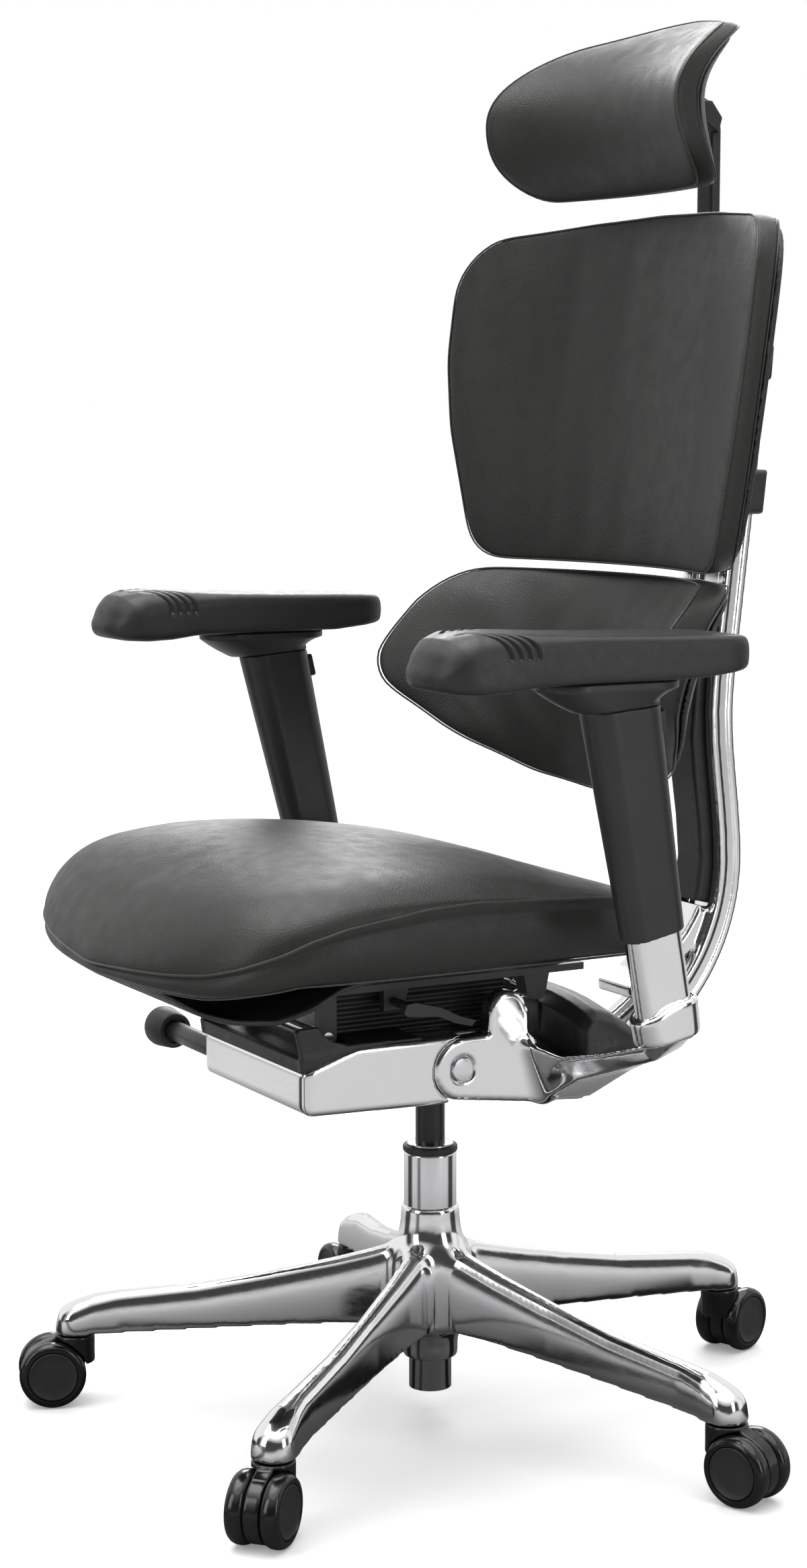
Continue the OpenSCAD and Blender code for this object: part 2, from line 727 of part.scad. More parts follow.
function back_outline(m) = concat(
    arc([back_half - 82 - m, back_low + 42 + m], 40, -90, -15, 6),
    [[back_half - 14 - m, 930], [back_half - 3 - m, 1000]],
    arc([back_half - 68 - m, back_high - 74 - m], 66, 10, 70, 7),
    [[100, back_high - 3 - m], [0, back_high - m], [-100, back_high - 3 - m]],
    arc([-back_half + 68 + m, back_high - 74 - m], 66, 110, 170, 7),
    [[-back_half + 3 + m, 1000], [-back_half + 14 + m, 930]],
    arc([-back_half + 82 + m, back_low + 42 + m], 40, 195, 270, 6)
);

module back_cushion() color([0.07, 0.07, 0.07])
    bowed(back_front, back_rear, back_line, back_outline(0));

// The straight stretch of the rails, as seen in a cut-out
function rail_slot(low, high, room) = [
    [rail_y(low) - rail_deep - room, low], [rail_y(low) + room, low],
    [rail_y(high) + room, high], [rail_y(high) - rail_deep - room, high]
];

carriage_low = 850;
carriage_high = 893;
guide_low = 978;
guide_high = 1106;

module back_shell() color([0.06, 0.06, 0.06]) difference() {
    union() {
        bowed(behind(back_rear, gap), behind(back_rear, gap + shell_t), back_line, back_outline(10));
        // boss that meets the carriage
        side(-44, 44, [
            [back_y + 30, carriage_low], [rail_y(carriage_low) - rail_deep - 12, carriage_low],
            [rail_y(carriage_high) - rail_deep - 12, carriage_high], [back_y + 30, carriage_high]
        ]);
        // housing over the rail tops and the headrest post
        side(-41, 41, [
            [back_y + 24, guide_low], [rail_y(guide_low) + 4, guide_low],
            [rail_y(rail_top) + 4, rail_top + 9], [post_y + 14, guide_high],
            [back_y + 38, guide_high]
        ]);
    }
    // room for the pad
    bow_solid(behind(back_rear, gap), back_line);
    side(-rail_out - gap, rail_out + gap, rail_slot(guide_low - 1, rail_top + 4, gap));
    translate([-12.5 - gap, post_y - 5.5 - gap, post_low - 4])
        cube([25 + 2 * gap, 11 + 2 * gap, guide_high - post_low + 5]);
}

module back_carriage() color([0.2, 0.2, 0.2]) difference() {
    side(-46, 46, [
        [rail_y(carriage_low) - rail_deep - 12 + fit, carriage_low],
        [rail_y(carriage_low) + 7, carriage_low], [rail_y(carriage_high) + 7, carriage_high],
        [rail_y(carriage_high) - rail_deep - 12 + fit, carriage_high]
    ]);
    side(-rail_out - gap, rail_out + gap, rail_slot(carriage_low - 1, carriage_high + 1, gap));
}

lumbar_pivot = [262, 757];

lumbar_front = [lumbar_bow, lumbar_y];
lumbar_rear = behind(lumbar_front, lumbar_pad);
lumbar_line = [
    [-5, lumbar_low - 9], [-10, 640], [-5, 680], [2, 710], [20, 760], [44, lumbar_high + 9]
];

function lumbar_outline(m) = concat(
    [[0, lumbar_low + m], [90, lumbar_low + 10 + m], [165, lumbar_low + 38 + m]],
    arc([lumbar_half - 60 - m, 712], 60, -40, 20, 6),
    arc([lumbar_half - 52 - m, lumbar_high - 42 - m], 42, 20, 90, 6),
    arc([-lumbar_half + 52 + m, lumbar_high - 42 - m], 42, 90, 160, 6),
    arc([-lumbar_half + 60 + m, 712], 60, 160, 220, 6),
    [[-165, lumbar_low + 38 + m], [-90, lumbar_low + 10 + m]]
);

module lumbar_cushion() color([0.07, 0.07, 0.07])
    bowed(lumbar_front, lumbar_rear, lumbar_line, lumbar_outline(0));

lumbar_back = lumbar_y + 20 + lumbar_pad;

module lumbar_shell() color([0.06, 0.06, 0.06]) difference() {
    union() {
        bowed(behind(lumbar_rear, gap), behind(lumbar_rear, gap + 5), lumbar_line,
              lumbar_outline(12));
        // knuckles of the sprung pivot
        sides(10, 20, concat(
            [[lumbar_back - 10, 742], [lumbar_pivot[0], 747]],
            arc(lumbar_pivot, 9, -90, 90, 8), [[lumbar_back + 5, 770]]
        ));
    }
    bars(9, 21, lumbar_pivot, 4 + fit);
    bow_solid(behind(lumbar_rear, gap), lumbar_line);
}

module lumbar_bracket() color([0.1, 0.1, 0.1]) {
    side(-rail_out, rail_out, [
        [rail_y(743) - rail_deep - 8, 743], [rail_y(743) - rail_deep - fit, 743],
        [rail_y(773) - rail_deep - fit, 773], [rail_y(773) - rail_deep - 8, 773]
    ]);
    side(-9.6, 9.6, concat(
        arc(lumbar_pivot, 9, 90, 270, 8),
        [[rail_y(748) - rail_deep - 7, 746], [rail_y(768) - rail_deep - 7, 770]]
    ));
    bar(-20, 20, lumbar_pivot, 4);
}

// Section of the headrest: bulges forward at mid height, rolls back at top and bottom
head_mid = (head_low + head_high) / 2 - 10;
head_steps = [for (i = [0 : 10]) head_low - 4 + (head_high - head_low + 8) * i / 10];
function head_roll(z) = z > head_mid
    ? 96 * pow((z - head_mid) / (head_high - head_mid), 2)
    : 34 * pow((head_mid - z) / (head_mid - head_low), 2);

head_front = [head_bow, head_y];
head_rear = behind(head_front, head_pad);
head_line = [for (z = head_steps) [head_roll(z), z]];

function head_outline(m) = concat(
    arc([head_half - 46 - m, head_low + 46 + m], 46, -90, 0, 6),
    arc([head_half - 60 - m, head_high - 76 - m], 60, 0, 78, 7),
    [[0, head_high - m]],
    arc([-head_half + 60 + m, head_high - 76 - m], 60, 102, 180, 7),
    arc([-head_half + 46 + m, head_low + 46 + m], 46, 180, 270, 6)
);

module head_cushion() color([0.07, 0.07, 0.07])
    bowed(head_front, head_rear, head_line, head_outline(0));

head_back = head_y + head_pad + 5;

module head_shell() color([0.3, 0.3, 0.31]) difference() {
    union() {
        bowed(behind(head_rear, gap), behind(head_rear, gap + 5), head_line, head_outline(12));
        sides(11, 21, concat(
            [[head_back + 1, 1228], [tilt_pivot[0], tilt_pivot[1] - 9]],
            arc(tilt_pivot, 9, -90, 90, 8), [[head_back + 1, 1262]]
        ));
    }
    bars(10, 22, tilt_pivot, 4 + fit);
    bow_solid(behind(head_rear, gap), head_line);
}

module head_link() color([0.35, 0.35, 0.36]) difference() {
    union() {
        side(-10.6, 10.6, concat(
            arc(tilt_pivot, 9, 60, 240, 8), arc(head_pivot, 9, -120, 60, 8)
        ));
        bar(-21, 21, tilt_pivot, 4);
    }
    bar(-11, 11, head_pivot, 4 + fit);
}

hook_r = 34;

module head_post() color([0.06, 0.06, 0.06]) {
    difference() {
        union() {
            side(-12.5, 12.5, concat(
                [[post_y - 5.5, post_low], [post_y + 5.5, post_low]],
                arc([post_y + 5.5 - hook_r, head_pivot[1] - 18], hook_r, 0, 80, 10),
                arc([post_y + 5.5 - hook_r, head_pivot[1] - 18], hook_r - 11, 80, 0, 10)
            ));
            sides(11, 19, concat(
                arc(head_pivot, 9, 90, 270, 8),
                [[post_y - 2, head_pivot[1] - 20], [post_y + 2, head_pivot[1] - 6],
                 [post_y - 10, head_pivot[1] + 9]]
            ));
        }
        // room for the link
        bar(-11, 11, head_pivot, 9.8);
        side(-11, 11, [
            [head_pivot[0] + 4, head_pivot[1] - 22], [head_pivot[0] + 4, head_pivot[1] + 30],
            [head_pivot[0] - 30, head_pivot[1] + 30], [head_pivot[0] - 30, head_pivot[1] - 22]
        ]);
    }
    bar(-19, 19, head_pivot, 4);
}

// ---- armrests ----

module arm_sleeve(s) color([0.1, 0.1, 0.1]) arm_frame(s) difference() {
    hull() {
        translate([0, 0, -sleeve_l]) linear_extrude(1) stadium(post_l + 6, post_w + 7, $fn = ROUND);
        translate([0, 0, -1]) linear_extrude(1) stadium(post_l + 19, post_w + 17, $fn = ROUND);
    }
    translate([0, 0, -sleeve_l - 1]) linear_extrude(sleeve_l - 7)
        stadium(post_l + 2 * fit, post_w + 2 * fit);
    // recess for the height button
    translate([-9, (post_l + 17) / 2 - 7, -34]) cube([18, 20, 24]);
}

module arm_button(s) color([0.08, 0.08, 0.08]) arm_frame(s)
    translate([-9 + gap, (post_l + 17) / 2 - 3, -34 + gap]) cube([18 - 2 * gap, 9, 24 - 2 * gap]);

module arm_head(s) color([0.1, 0.1, 0.1]) difference() {
    hull() {
        arm_frame(s) translate([0, 0, 0]) linear_extrude(1)
            stadium(post_l + 19, post_w + 17, $fn = ROUND);
        translate([s * arm_x, swivel_y, slider_z - 6]) linear_extrude(6 - gap)
            stadium(150, 64, $fn = ROUND);
    }
    translate([s * arm_x, swivel_y, slider_z - 18]) cylinder(h = 30, r = 10 + fit);
    // the sleeve's top face stays clear
    arm_frame(s) translate([-60, -60, -60]) cube([120, 120, 60]);
}

module arm_slider(s) color([0.4, 0.4, 0.4]) translate([s * arm_x, swivel_y, 0]) {
    translate([-24, -60, slider_z]) cube([48, 120, slider_t]);
    translate([0, 0, slider_z - 17]) cylinder(h = 17, r = 10);
}

pad_rear = 113;
pad_front = pad_rear - pad_l;

pad_side = concat(
    arc([pad_rear - 14, 748], 14, -60, 80, 8),
    [[60, 765], [-60, 768], [pad_front + 75, 772.5], [pad_front + 36, 773]],
    arc([pad_front + 26, 746], 26, 110, 230, 10),
    [[pad_front + 36, 724.5], [pad_front + 72, 724], [pad_front + 96, slider_z + 0.8],
     [50, slider_z + 0.8]]
);

module arm_pad(s) color([0.06, 0.06, 0.06]) difference() {
    intersection() {
        translate([s * arm_x, 0, 0]) side(-pad_half, pad_half, pad_side);
        translate([s * arm_x, 0, 0]) linear_extrude(BIG) polygon(concat(
            arc([pad_half - 42, pad_front + 42], 42, 0, -90, 8),
            arc([-pad_half + 42, pad_front + 42], 42, -90, -180, 8),
            arc([-pad_half + 36, pad_rear - 36], 36, 180, 90, 8),
            arc([pad_half - 36, pad_rear - 36], 36, 90, 0, 8)
        ));
    }
    translate([s * arm_x - 24 - 0.1, swivel_y - 84, slider_z - 9])
        cube([48.2, 178, 9 + slider_t + 0.3]);
}

// ---- nodes ----

base_star();
caster_stems();
column_tube();
column_bush();
thrust_bearing();
for (k = [0 : 4]) {
    caster_fork(k);
    caster_wheel(k, 1);
    caster_wheel(k, -1);
}
gas_rod();
gas_cylinder();
release_button();
mech_housing();
mech_cover();
main_pins();
tilt_springs();
tension_shaft();
tension_knob();
height_lever();
tilt_lever();
yoke();
arm_posts();
back_rails();
spine_insert();
seat_plate();
seat_pins();
slide_lever();
seat_pan();
seat_cushion();
back_carriage();
back_shell();
back_cushion();
lumbar_bracket();
lumbar_shell();
lumbar_cushion();
head_post();
head_link();
head_shell();
head_cushion();
arm_sleeve(1);  // arm_sleeve_left
arm_sleeve(-1);  // arm_sleeve_right
arm_head(1);  // arm_head_left
arm_head(-1);  // arm_head_right
arm_slider(1);  // arm_slider_left
arm_slider(-1);  // arm_slider_right
arm_pad(1);  // arm_pad_left
arm_pad(-1);  // arm_pad_right
arm_button(1);  // arm_button_left
arm_button(-1);  // arm_button_right
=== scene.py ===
"""A swivel office chair with a headrest, lumbar pad, height-adjustable arms and a five-armed base.

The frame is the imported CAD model: +Z up, the floor at z = 0, the gas column on the Z axis, and the
sitter facing -Y. Lengths below are in millimetres and become metres when a piece is made.
"""

import json
import math
from functools import reduce
from itertools import product

import bpy
import numpy as np
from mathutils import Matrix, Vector


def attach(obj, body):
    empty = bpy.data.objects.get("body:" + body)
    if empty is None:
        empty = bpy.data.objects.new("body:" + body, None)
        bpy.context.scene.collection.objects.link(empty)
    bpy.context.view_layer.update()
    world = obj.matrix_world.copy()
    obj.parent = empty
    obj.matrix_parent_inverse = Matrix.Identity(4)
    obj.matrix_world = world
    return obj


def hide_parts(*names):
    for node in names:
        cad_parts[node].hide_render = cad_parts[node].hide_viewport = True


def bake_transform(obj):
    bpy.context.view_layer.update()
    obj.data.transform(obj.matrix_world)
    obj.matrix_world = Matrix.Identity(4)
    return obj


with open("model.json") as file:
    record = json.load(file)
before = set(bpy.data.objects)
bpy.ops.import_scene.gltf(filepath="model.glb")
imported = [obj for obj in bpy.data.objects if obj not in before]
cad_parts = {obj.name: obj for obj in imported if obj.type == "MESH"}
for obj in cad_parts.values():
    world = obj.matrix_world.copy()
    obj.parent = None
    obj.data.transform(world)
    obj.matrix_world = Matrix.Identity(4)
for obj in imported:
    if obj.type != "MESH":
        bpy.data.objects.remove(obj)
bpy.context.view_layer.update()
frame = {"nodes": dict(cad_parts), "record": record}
NODES = frame["nodes"]
MM = 0.001

# ---- sizes shared with the CAD ----

BASE_YAW = math.radians(235.8)
BASE_R = 344
CASTER_YAW = [249.4, 310.4, 20, 111.5, 175]
TRAIL = 22
WHEEL_R = 32
PIN = (-25, 357)
REAR_PIN = (66, 420)
TENSION = (-168, 350)
MECH_HALF = 105
HOUSING_FRONT = -187
HOUSING_CORNER = 11
LUMBAR_PIVOT = (262, 757)
REACH_PIVOT = (284, 1229)
TILT_PIVOT = (258, 1243)
ARM_X = 322
ARM_TOP = 705
ARM_LEAN = math.radians(11.86)
ARM_SPLAY = math.radians(2.6)


# ---- meshes ----

def linked(name, data):
    """A new object in the scene."""
    obj = bpy.data.objects.new(name, data)
    bpy.context.scene.collection.objects.link(obj)
    return obj


def piece(name, points, faces, body, slot, nodes=(), sharp=None):
    """A mesh piece from points in millimetres, riding on a body in place of some CAD nodes."""
    mesh = bpy.data.meshes.new(name)
    mesh.from_pydata(np.asarray(points, float) * MM, [], [list(map(int, f)) for f in faces])
    mesh.validate()
    mesh.polygons.foreach_set("use_smooth", [True] * len(mesh.polygons))
    if sharp:
        mesh.set_sharp_from_angle(angle=math.radians(sharp))
    obj = linked(name, mesh)
    if body:
        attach(obj, body)
    if nodes:
        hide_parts(*nodes)
    obj.data.materials.append(MATERIALS[slot])
    return obj


def bands(rings, count, closed=True):
    """Quads between successive rings of count points each, numbered ring after ring."""
    last = count if closed else count - 1
    return [
        (r + i, r + (i + 1) % count, r + count + (i + 1) % count, r + count + i)
        for r in range(0, (rings - 1) * count, count)
        for i in range(last)
    ]


def lathe(profile, count=96):
    """Points and faces of a closed solid turned about Z from an [r, z] profile."""
    turn = np.arange(count) * 2 * math.pi / count
    points = [
        (r * math.cos(a), r * math.sin(a), z)
        for r, z in profile
        for a in turn
    ]
    faces = bands(len(profile), count)
    faces.append(list(range(count))[::-1])
    faces.append([(len(profile) - 1) * count + i for i in range(count)])
    return np.array(points), faces


def rounded(profile, radius=0.6):
    """The [r, z] profile with each inner corner cut twice, so that edges catch the light."""
    out = [profile[0]]
    for before, at, after in zip(profile, profile[1:], profile[2:]):
        before, at, after = map(np.array, (before, at, after))
        back, on = before - at, after - at
        reach = min(radius, np.linalg.norm(back) * 0.4, np.linalg.norm(on) * 0.4)
        a = at + back / max(np.linalg.norm(back), 1e-6) * reach
        b = at + on / max(np.linalg.norm(on), 1e-6) * reach
        out += [tuple(a), tuple((a + b + 2 * at) / 4), tuple(b)]
    return out + [profile[-1]]


def lathe_x(profile, count, axis):
    """A lathe's solid laid along X, with its axis at (y, z)."""
    points, faces = lathe(profile, count)
    a, b, c = points.T
    return np.stack([c, a + axis[0], b + axis[1]], 1), faces


def spun(a, b, angle):
    """Two coordinates turned by an angle in their own plane."""
    c, s = math.cos(angle), math.sin(angle)
    return a * c - b * s, a * s + b * c


def turned(points, angle):
    """Points turned about Z."""
    x, y, z = np.asarray(points, float).T
    return np.stack([*spun(x, y, angle), z], 1)


def joined(parts):
    """Several (points, faces) as one."""
    points, faces, start = [], [], 0
    for p, f in parts:
        points.append(np.asarray(p, float))
        faces += [[i + start for i in face] for face in f]
        start += len(p)
    return np.concatenate(points), faces


def mirrored(points, faces):
    """The same solid on the other side of the chair."""
    return np.asarray(points, float) * (-1, 1, 1), [f[::-1] for f in faces]


# ---- signed distance fields, negative inside ----

def length(*parts):
    """The length of a vector from its parts."""
    return np.sqrt(sum(p * p for p in parts))


def shared(*fields):
    """What several fields share, with sharp edges."""
    return reduce(np.maximum, fields)


def without(solid, hole):
    """A field less another, with sharp edges."""
    return np.maximum(solid, -hole)


def merge(a, b, k):
    """The union of two fields with a fillet of about k."""
    h = np.maximum(k - np.abs(a - b), 0) / k
    return np.minimum(a, b) - h * h * k / 4


def common(a, b, k):
    """What two fields share, with edges rounded by about k."""
    return -merge(-a, -b, k)


def extruded(flat, across, radius):
    """A 2-D field carried across a slab, with rounded rims."""
    a, b = flat + radius, across + radius
    inside = np.minimum(np.maximum(a, b), 0)
    return inside + length(np.maximum(a, 0), np.maximum(b, 0)) - radius


def polygon(u, v, corners):
    """Signed distance to a polygon."""
    best, inside = None, None
    for (ax, ay), (bx, by) in zip(corners, corners[1:] + corners[:1]):
        ex, ey = bx - ax, by - ay
        wx, wy = u - ax, v - ay
        t = np.clip((wx * ex + wy * ey) / (ex * ex + ey * ey + 1e-9), 0, 1)
        d = (wx - t * ex) ** 2 + (wy - t * ey) ** 2
        crosses = ((ay > v) != (by > v)) & (u < ex * (v - ay) / (ey + 1e-12) + ax)
        best = d if best is None else np.minimum(best, d)
        inside = crosses if inside is None else inside ^ crosses
    return np.sqrt(best) * np.where(inside, -1, 1)


def plate(u, v, corners, across, radius):
    """A polygon carried across a slab, with rounded rims."""
    return extruded(polygon(u, v, corners), across, radius)


def oblong(left, right, bottom, top):
    """The corners of a rectangle."""
    return [(left, bottom), (right, bottom), (right, top), (left, top)]


def stadium(u, v, long, wide):
    """A slot's shape: straight sides and round ends."""
    return length(np.maximum(np.abs(u) - (long - wide) / 2, 0), v) - wide / 2


def stroke(u, v, a, b):
    """Distance from (u, v) to the line from a to b."""
    eu, ev = b[0] - a[0], b[1] - a[1]
    t = np.clip(((u - a[0]) * eu + (v - a[1]) * ev) / (eu * eu + ev * ev), 0, 1)
    return length(u - a[0] - t * eu, v - a[1] - t * ev)


def rod(u, v, centre, radius):
    """A round bar through a point of its own plane."""
    return length(u - centre[0], v - centre[1]) - radius


def arc(centre, radius, start, end, count=12):
    """Points round a centre from one angle to another, in degrees."""
    return [
        (centre[0] + radius * math.cos(a), centre[1] + radius * math.sin(a))
        for a in np.radians(np.linspace(start, end, count + 1))
    ]


UNIT = np.eye(3, dtype=int)


def crossings(d, cells):
    """For each cell, the mean of the places where its edges cross the surface, in grid steps."""
    total, hits = np.zeros((len(cells), 3)), np.zeros(len(cells))
    for axis in range(3):
        for s, t in product((0, 1), repeat=2):
            a = cells + s * UNIT[axis - 2] + t * UNIT[axis - 1]
            da, db = d[tuple(a.T)], d[tuple((a + UNIT[axis]).T)]
            crosses = (da < 0) != (db < 0)
            share = np.where(crosses, da / np.where(crosses, da - db, 1), 0)
            total += np.where(crosses[:, None], a + share[:, None] * UNIT[axis], 0)
            hits += crosses
    return total / hits[:, None]


def net_quads(inside, index):
    """A quad round every grid edge that crosses the surface, facing outwards."""
    faces = []
    for axis in range(3):
        u, v = UNIT[axis - 2], UNIT[axis - 1]
        near = [slice(None)] * 3
        far = [slice(None)] * 3
        near[axis], far[axis] = slice(0, -1), slice(1, None)
        edges = np.argwhere(inside[tuple(near)] != inside[tuple(far)])
        quads = np.stack([index[tuple((edges - o).T)] for o in (u + v, v, 0 * u, u)], 1)
        outward = inside[tuple(edges.T)]
        quads[~outward] = quads[~outward][:, ::-1]
        faces.append(quads)
    return np.concatenate(faces).tolist()


def implicit(field, low, high, step):
    """Points and quads of the surface where field(x, y, z) is zero, by surface nets."""
    axes = [np.arange(a - step, b + 2 * step, step) for a, b in zip(low, high)]
    shape = tuple(len(a) for a in axes)
    d = np.broadcast_to(field(*np.ix_(*axes)), shape)
    inside = d < 0
    corners = [
        inside[tuple(slice(o, n - 1 + o) for o, n in zip(offset, shape))]
        for offset in product((0, 1), repeat=3)
    ]
    mixed = np.logical_or.reduce(corners) & ~np.logical_and.reduce(corners)
    cells = np.argwhere(mixed)
    index = np.full(mixed.shape, -1)
    index[tuple(cells.T)] = np.arange(len(cells))
    points = crossings(d, cells) * step + [a[0] for a in axes]
    return settle(field, points, step), net_quads(inside, index)


def relaxed(points, faces, weight, rounds):
    """Evens out a quad mesh: each point moves towards its neighbours' mean by its own weight."""
    quads = np.array(faces)
    a = quads.ravel()
    b = np.roll(quads, -1, 1).ravel()
    ends, others = np.concatenate([a, b]), np.concatenate([b, a])
    count = np.bincount(ends, minlength=len(points))[:, None]
    for _ in range(rounds):
        total = np.stack([
            np.bincount(ends, points[others, i], len(points)) for i in range(3)
        ], 1)
        points = points + weight[:, None] * (total / count - points)
    return points


def settle(field, points, step, rounds=3):
    """Moves points onto the surface by Newton's method."""
    e = 0.05
    for _ in range(rounds):
        x, y, z = points.T
        d = field(x, y, z)
        slope = np.stack([
            field(x + e, y, z) - d, field(x, y + e, z) - d, field(x, y, z + e) - d
        ], 1) / e
        move = d[:, None] * slope / np.maximum((slope ** 2).sum(1), 0.3)[:, None]
        far = np.maximum(np.linalg.norm(move, axis=1) / (0.4 * step), 1)
        points = points - move / far[:, None]
    return points


def cast(name, field, low, high, step, body, slot, nodes, rounds=0):
    """A piece made from a field, with its edges eased by some rounds of smoothing."""
    points, faces = implicit(field, low, high, step)
    points = relaxed(points, faces, np.full(len(points), 0.5), rounds)
    return piece(name, points, faces, body, slot, nodes)


# ---- materials ----

def new_material(name):
    """A material with its node tree and its main shader."""
    material = bpy.data.materials.new(name)
    material.use_nodes = True
    tree = material.node_tree
    return material, tree, tree.nodes["Principled BSDF"]


def feed(tree, target, inputs):
    """Links sockets to a node's inputs and sets plain values, by input name or number."""
    for key, value in inputs.items():
        if isinstance(value, bpy.types.NodeSocket):
            tree.links.new(value, target.inputs[key])
        else:
            target.inputs[key].default_value = value


def node(tree, kind, inputs, **settings):
    """A shader node with its settings and inputs."""
    made = tree.nodes.new("ShaderNode" + kind)
    for name, value in settings.items():
        setattr(made, name, value)
    feed(tree, made, inputs)
    return made


def maths(tree, operation, *values):
    """One step of arithmetic on sockets and numbers."""
    return node(tree, "Math", dict(enumerate(values)), operation=operation).outputs["Value"]


def split(tree, vector):
    """The three parts of a vector socket."""
    return node(tree, "SeparateXYZ", {"Vector": vector}).outputs


def place_in(tree, space="Object"):
    """Where a point is: in metres in the object's own space, or as the world's direction."""
    return node(tree, "TexCoord", {}).outputs[space]


def noise(tree, scale, detail=4.0, stretch=(1, 1, 1)):
    """Noise over the object's own space."""
    mapping = node(tree, "Mapping", {"Scale": stretch, "Vector": place_in(tree)})
    inputs = {"Scale": scale, "Detail": detail, "Vector": mapping.outputs["Vector"]}
    return node(tree, "TexNoise", inputs).outputs["Fac"]


def cells(tree, scale):
    """Voronoi cells over the object's own space, for leather grain."""
    inputs = {"Scale": scale, "Smoothness": 0.6, "Vector": place_in(tree)}
    return node(tree, "TexVoronoi", inputs, feature="SMOOTH_F1").outputs["Distance"]


def ramp(tree, value, low, high, start=0.3, end=0.7, between=()):
    """A colour or grey that runs from low to high as value runs from start to end.

    between holds (place, grey) stops that it passes on the way."""
    made = node(tree, "ValToRGB", {"Fac": value})
    stops = made.color_ramp.elements
    for stop, place, colour in zip(stops, (start, end), (low, high)):
        stop.position = place
        stop.color = (*colour, 1) if isinstance(colour, tuple) else (colour, colour, colour, 1)
    for place, grey in between:
        stops.new(place).color = (grey, grey, grey, 1)
    return made.outputs["Color"]


def bump(tree, shader, heights, distance):
    """Bump from (value, strength) pairs, one over another."""
    under = {}
    for value, strength in heights:
        inputs = {"Strength": strength, "Distance": distance, "Height": value, **under}
        under = {"Normal": node(tree, "Bump", inputs).outputs["Normal"]}
    feed(tree, shader, under)


def leather(name, low, high, shine):
    """Grained leather between two tones, with shine as its lowest and highest roughness."""
    material, tree, shader = new_material(name)
    feed(tree, shader, {
        "Base Color": ramp(tree, noise(tree, 9.0, 5.0), low, high),
        "Roughness": ramp(tree, noise(tree, 60.0), *shine),
        "Specular IOR Level": 0.42,
        "Sheen Weight": 0.03,
        "Sheen Roughness": 0.4,
    })
    creases = noise(tree, 34.0, 6.0, (1.0, 1.0, 2.2))
    grain = [(creases, 0.10), (cells(tree, 620.0), 0.35), (noise(tree, 1500.0), 0.2)]
    bump(tree, shader, grain, 0.0006)
    return material


def metal(name, colour, low, high, streaks, grain):
    """Cast or drawn metal, with its roughness varied by fine streaks."""
    material, tree, shader = new_material(name)
    lighter = tuple(min(1.0, c * 1.06) for c in colour)
    feed(tree, shader, {
        "Metallic": 1.0,
        "Base Color": ramp(tree, noise(tree, 12.0), colour, lighter),
        "Roughness": ramp(tree, noise(tree, 90.0, 6.0, streaks), low, high),
    })
    bump(tree, shader, [(noise(tree, 260.0, 3.0, streaks), grain)], 0.0002)
    return material


def plastic(name, colour, low, high, grain, scale=700.0):
    """Moulded plastic or paint with a fine spark texture."""
    material, tree, shader = new_material(name)
    lighter = tuple(c * 1.25 for c in colour)
    feed(tree, shader, {
        "Base Color": ramp(tree, noise(tree, 25.0), colour, lighter),
        "Roughness": ramp(tree, noise(tree, 140.0), low, high),
        "Specular IOR Level": 0.5,
    })
    bump(tree, shader, [(noise(tree, scale, 2.0), grain)], 0.0003)
    return material


FINISHES = {
    "black_leather": (leather, (0.0112, 0.0109, 0.0098), (0.0152, 0.0148, 0.0134), (0.38, 0.50)),
    # painted highlight: the piping is coloured lighter than the leather it is cut from, to show the
    # light along its welts
    "leather_piping": (leather, (0.025, 0.024, 0.022), (0.033, 0.032, 0.030), (0.26, 0.36)),
    "cast_aluminium": (metal, (0.84, 0.84, 0.85), 0.08, 0.14, (1, 1, 3), 0.04),
    "polished_posts": (metal, (0.86, 0.86, 0.87), 0.05, 0.10, (4, 4, 1), 0.03),
    "bright_steel": (metal, (0.78, 0.78, 0.80), 0.10, 0.18, (6, 6, 1), 0.06),
    "black_steel": (plastic, (0.010, 0.010, 0.0105), 0.26, 0.38, 0.10, 500.0),
    "black_plastic": (plastic, (0.013, 0.013, 0.0133), 0.42, 0.52, 0.16),
    "satin_plastic": (plastic, (0.012, 0.012, 0.0124), 0.34, 0.42, 0.10),
    "caster_plastic": (plastic, (0.006, 0.006, 0.0062), 0.14, 0.20, 0.015),
    "grey_plastic": (plastic, (0.11, 0.11, 0.112), 0.38, 0.46, 0.12),
    "soft_arm_pad": (plastic, (0.010, 0.010, 0.0103), 0.40, 0.54, 0.16, 900.0),
}
MATERIALS = {name: make(name, *values) for name, (make, *values) in FINISHES.items()}


# ---- padded goods ----

def smoothed(line, count, spread):
    """A closed 2-D line as count even points, blurred by spread points."""
    line = np.array(line, float)
    ends = np.roll(line, -1, 0)
    steps = np.concatenate([[0], np.cumsum(np.linalg.norm(ends - line, axis=1))])
    at = np.linspace(0, steps[-1], count, endpoint=False)
    closed = np.vstack([line, line[:1]])
    even = np.stack([np.interp(at, steps, closed[:, i]) for i in range(2)], 1)
    reach = int(3 * spread)
    weights = np.exp(-0.5 * (np.arange(-reach, reach + 1) / spread) ** 2)
    shifted = [np.roll(even, -o, 0) * w for o, w in zip(range(-reach, reach + 1), weights)]
    return sum(shifted) / weights.sum()


def inset(ring, distance):
    """A closed anticlockwise ring moved inwards along its normals."""
    along = np.roll(ring, -1, 0) - np.roll(ring, 1, 0)
    along /= np.linalg.norm(along, axis=1)[:, None]
    return ring + distance * np.stack([-along[:, 1], along[:, 0]], 1)


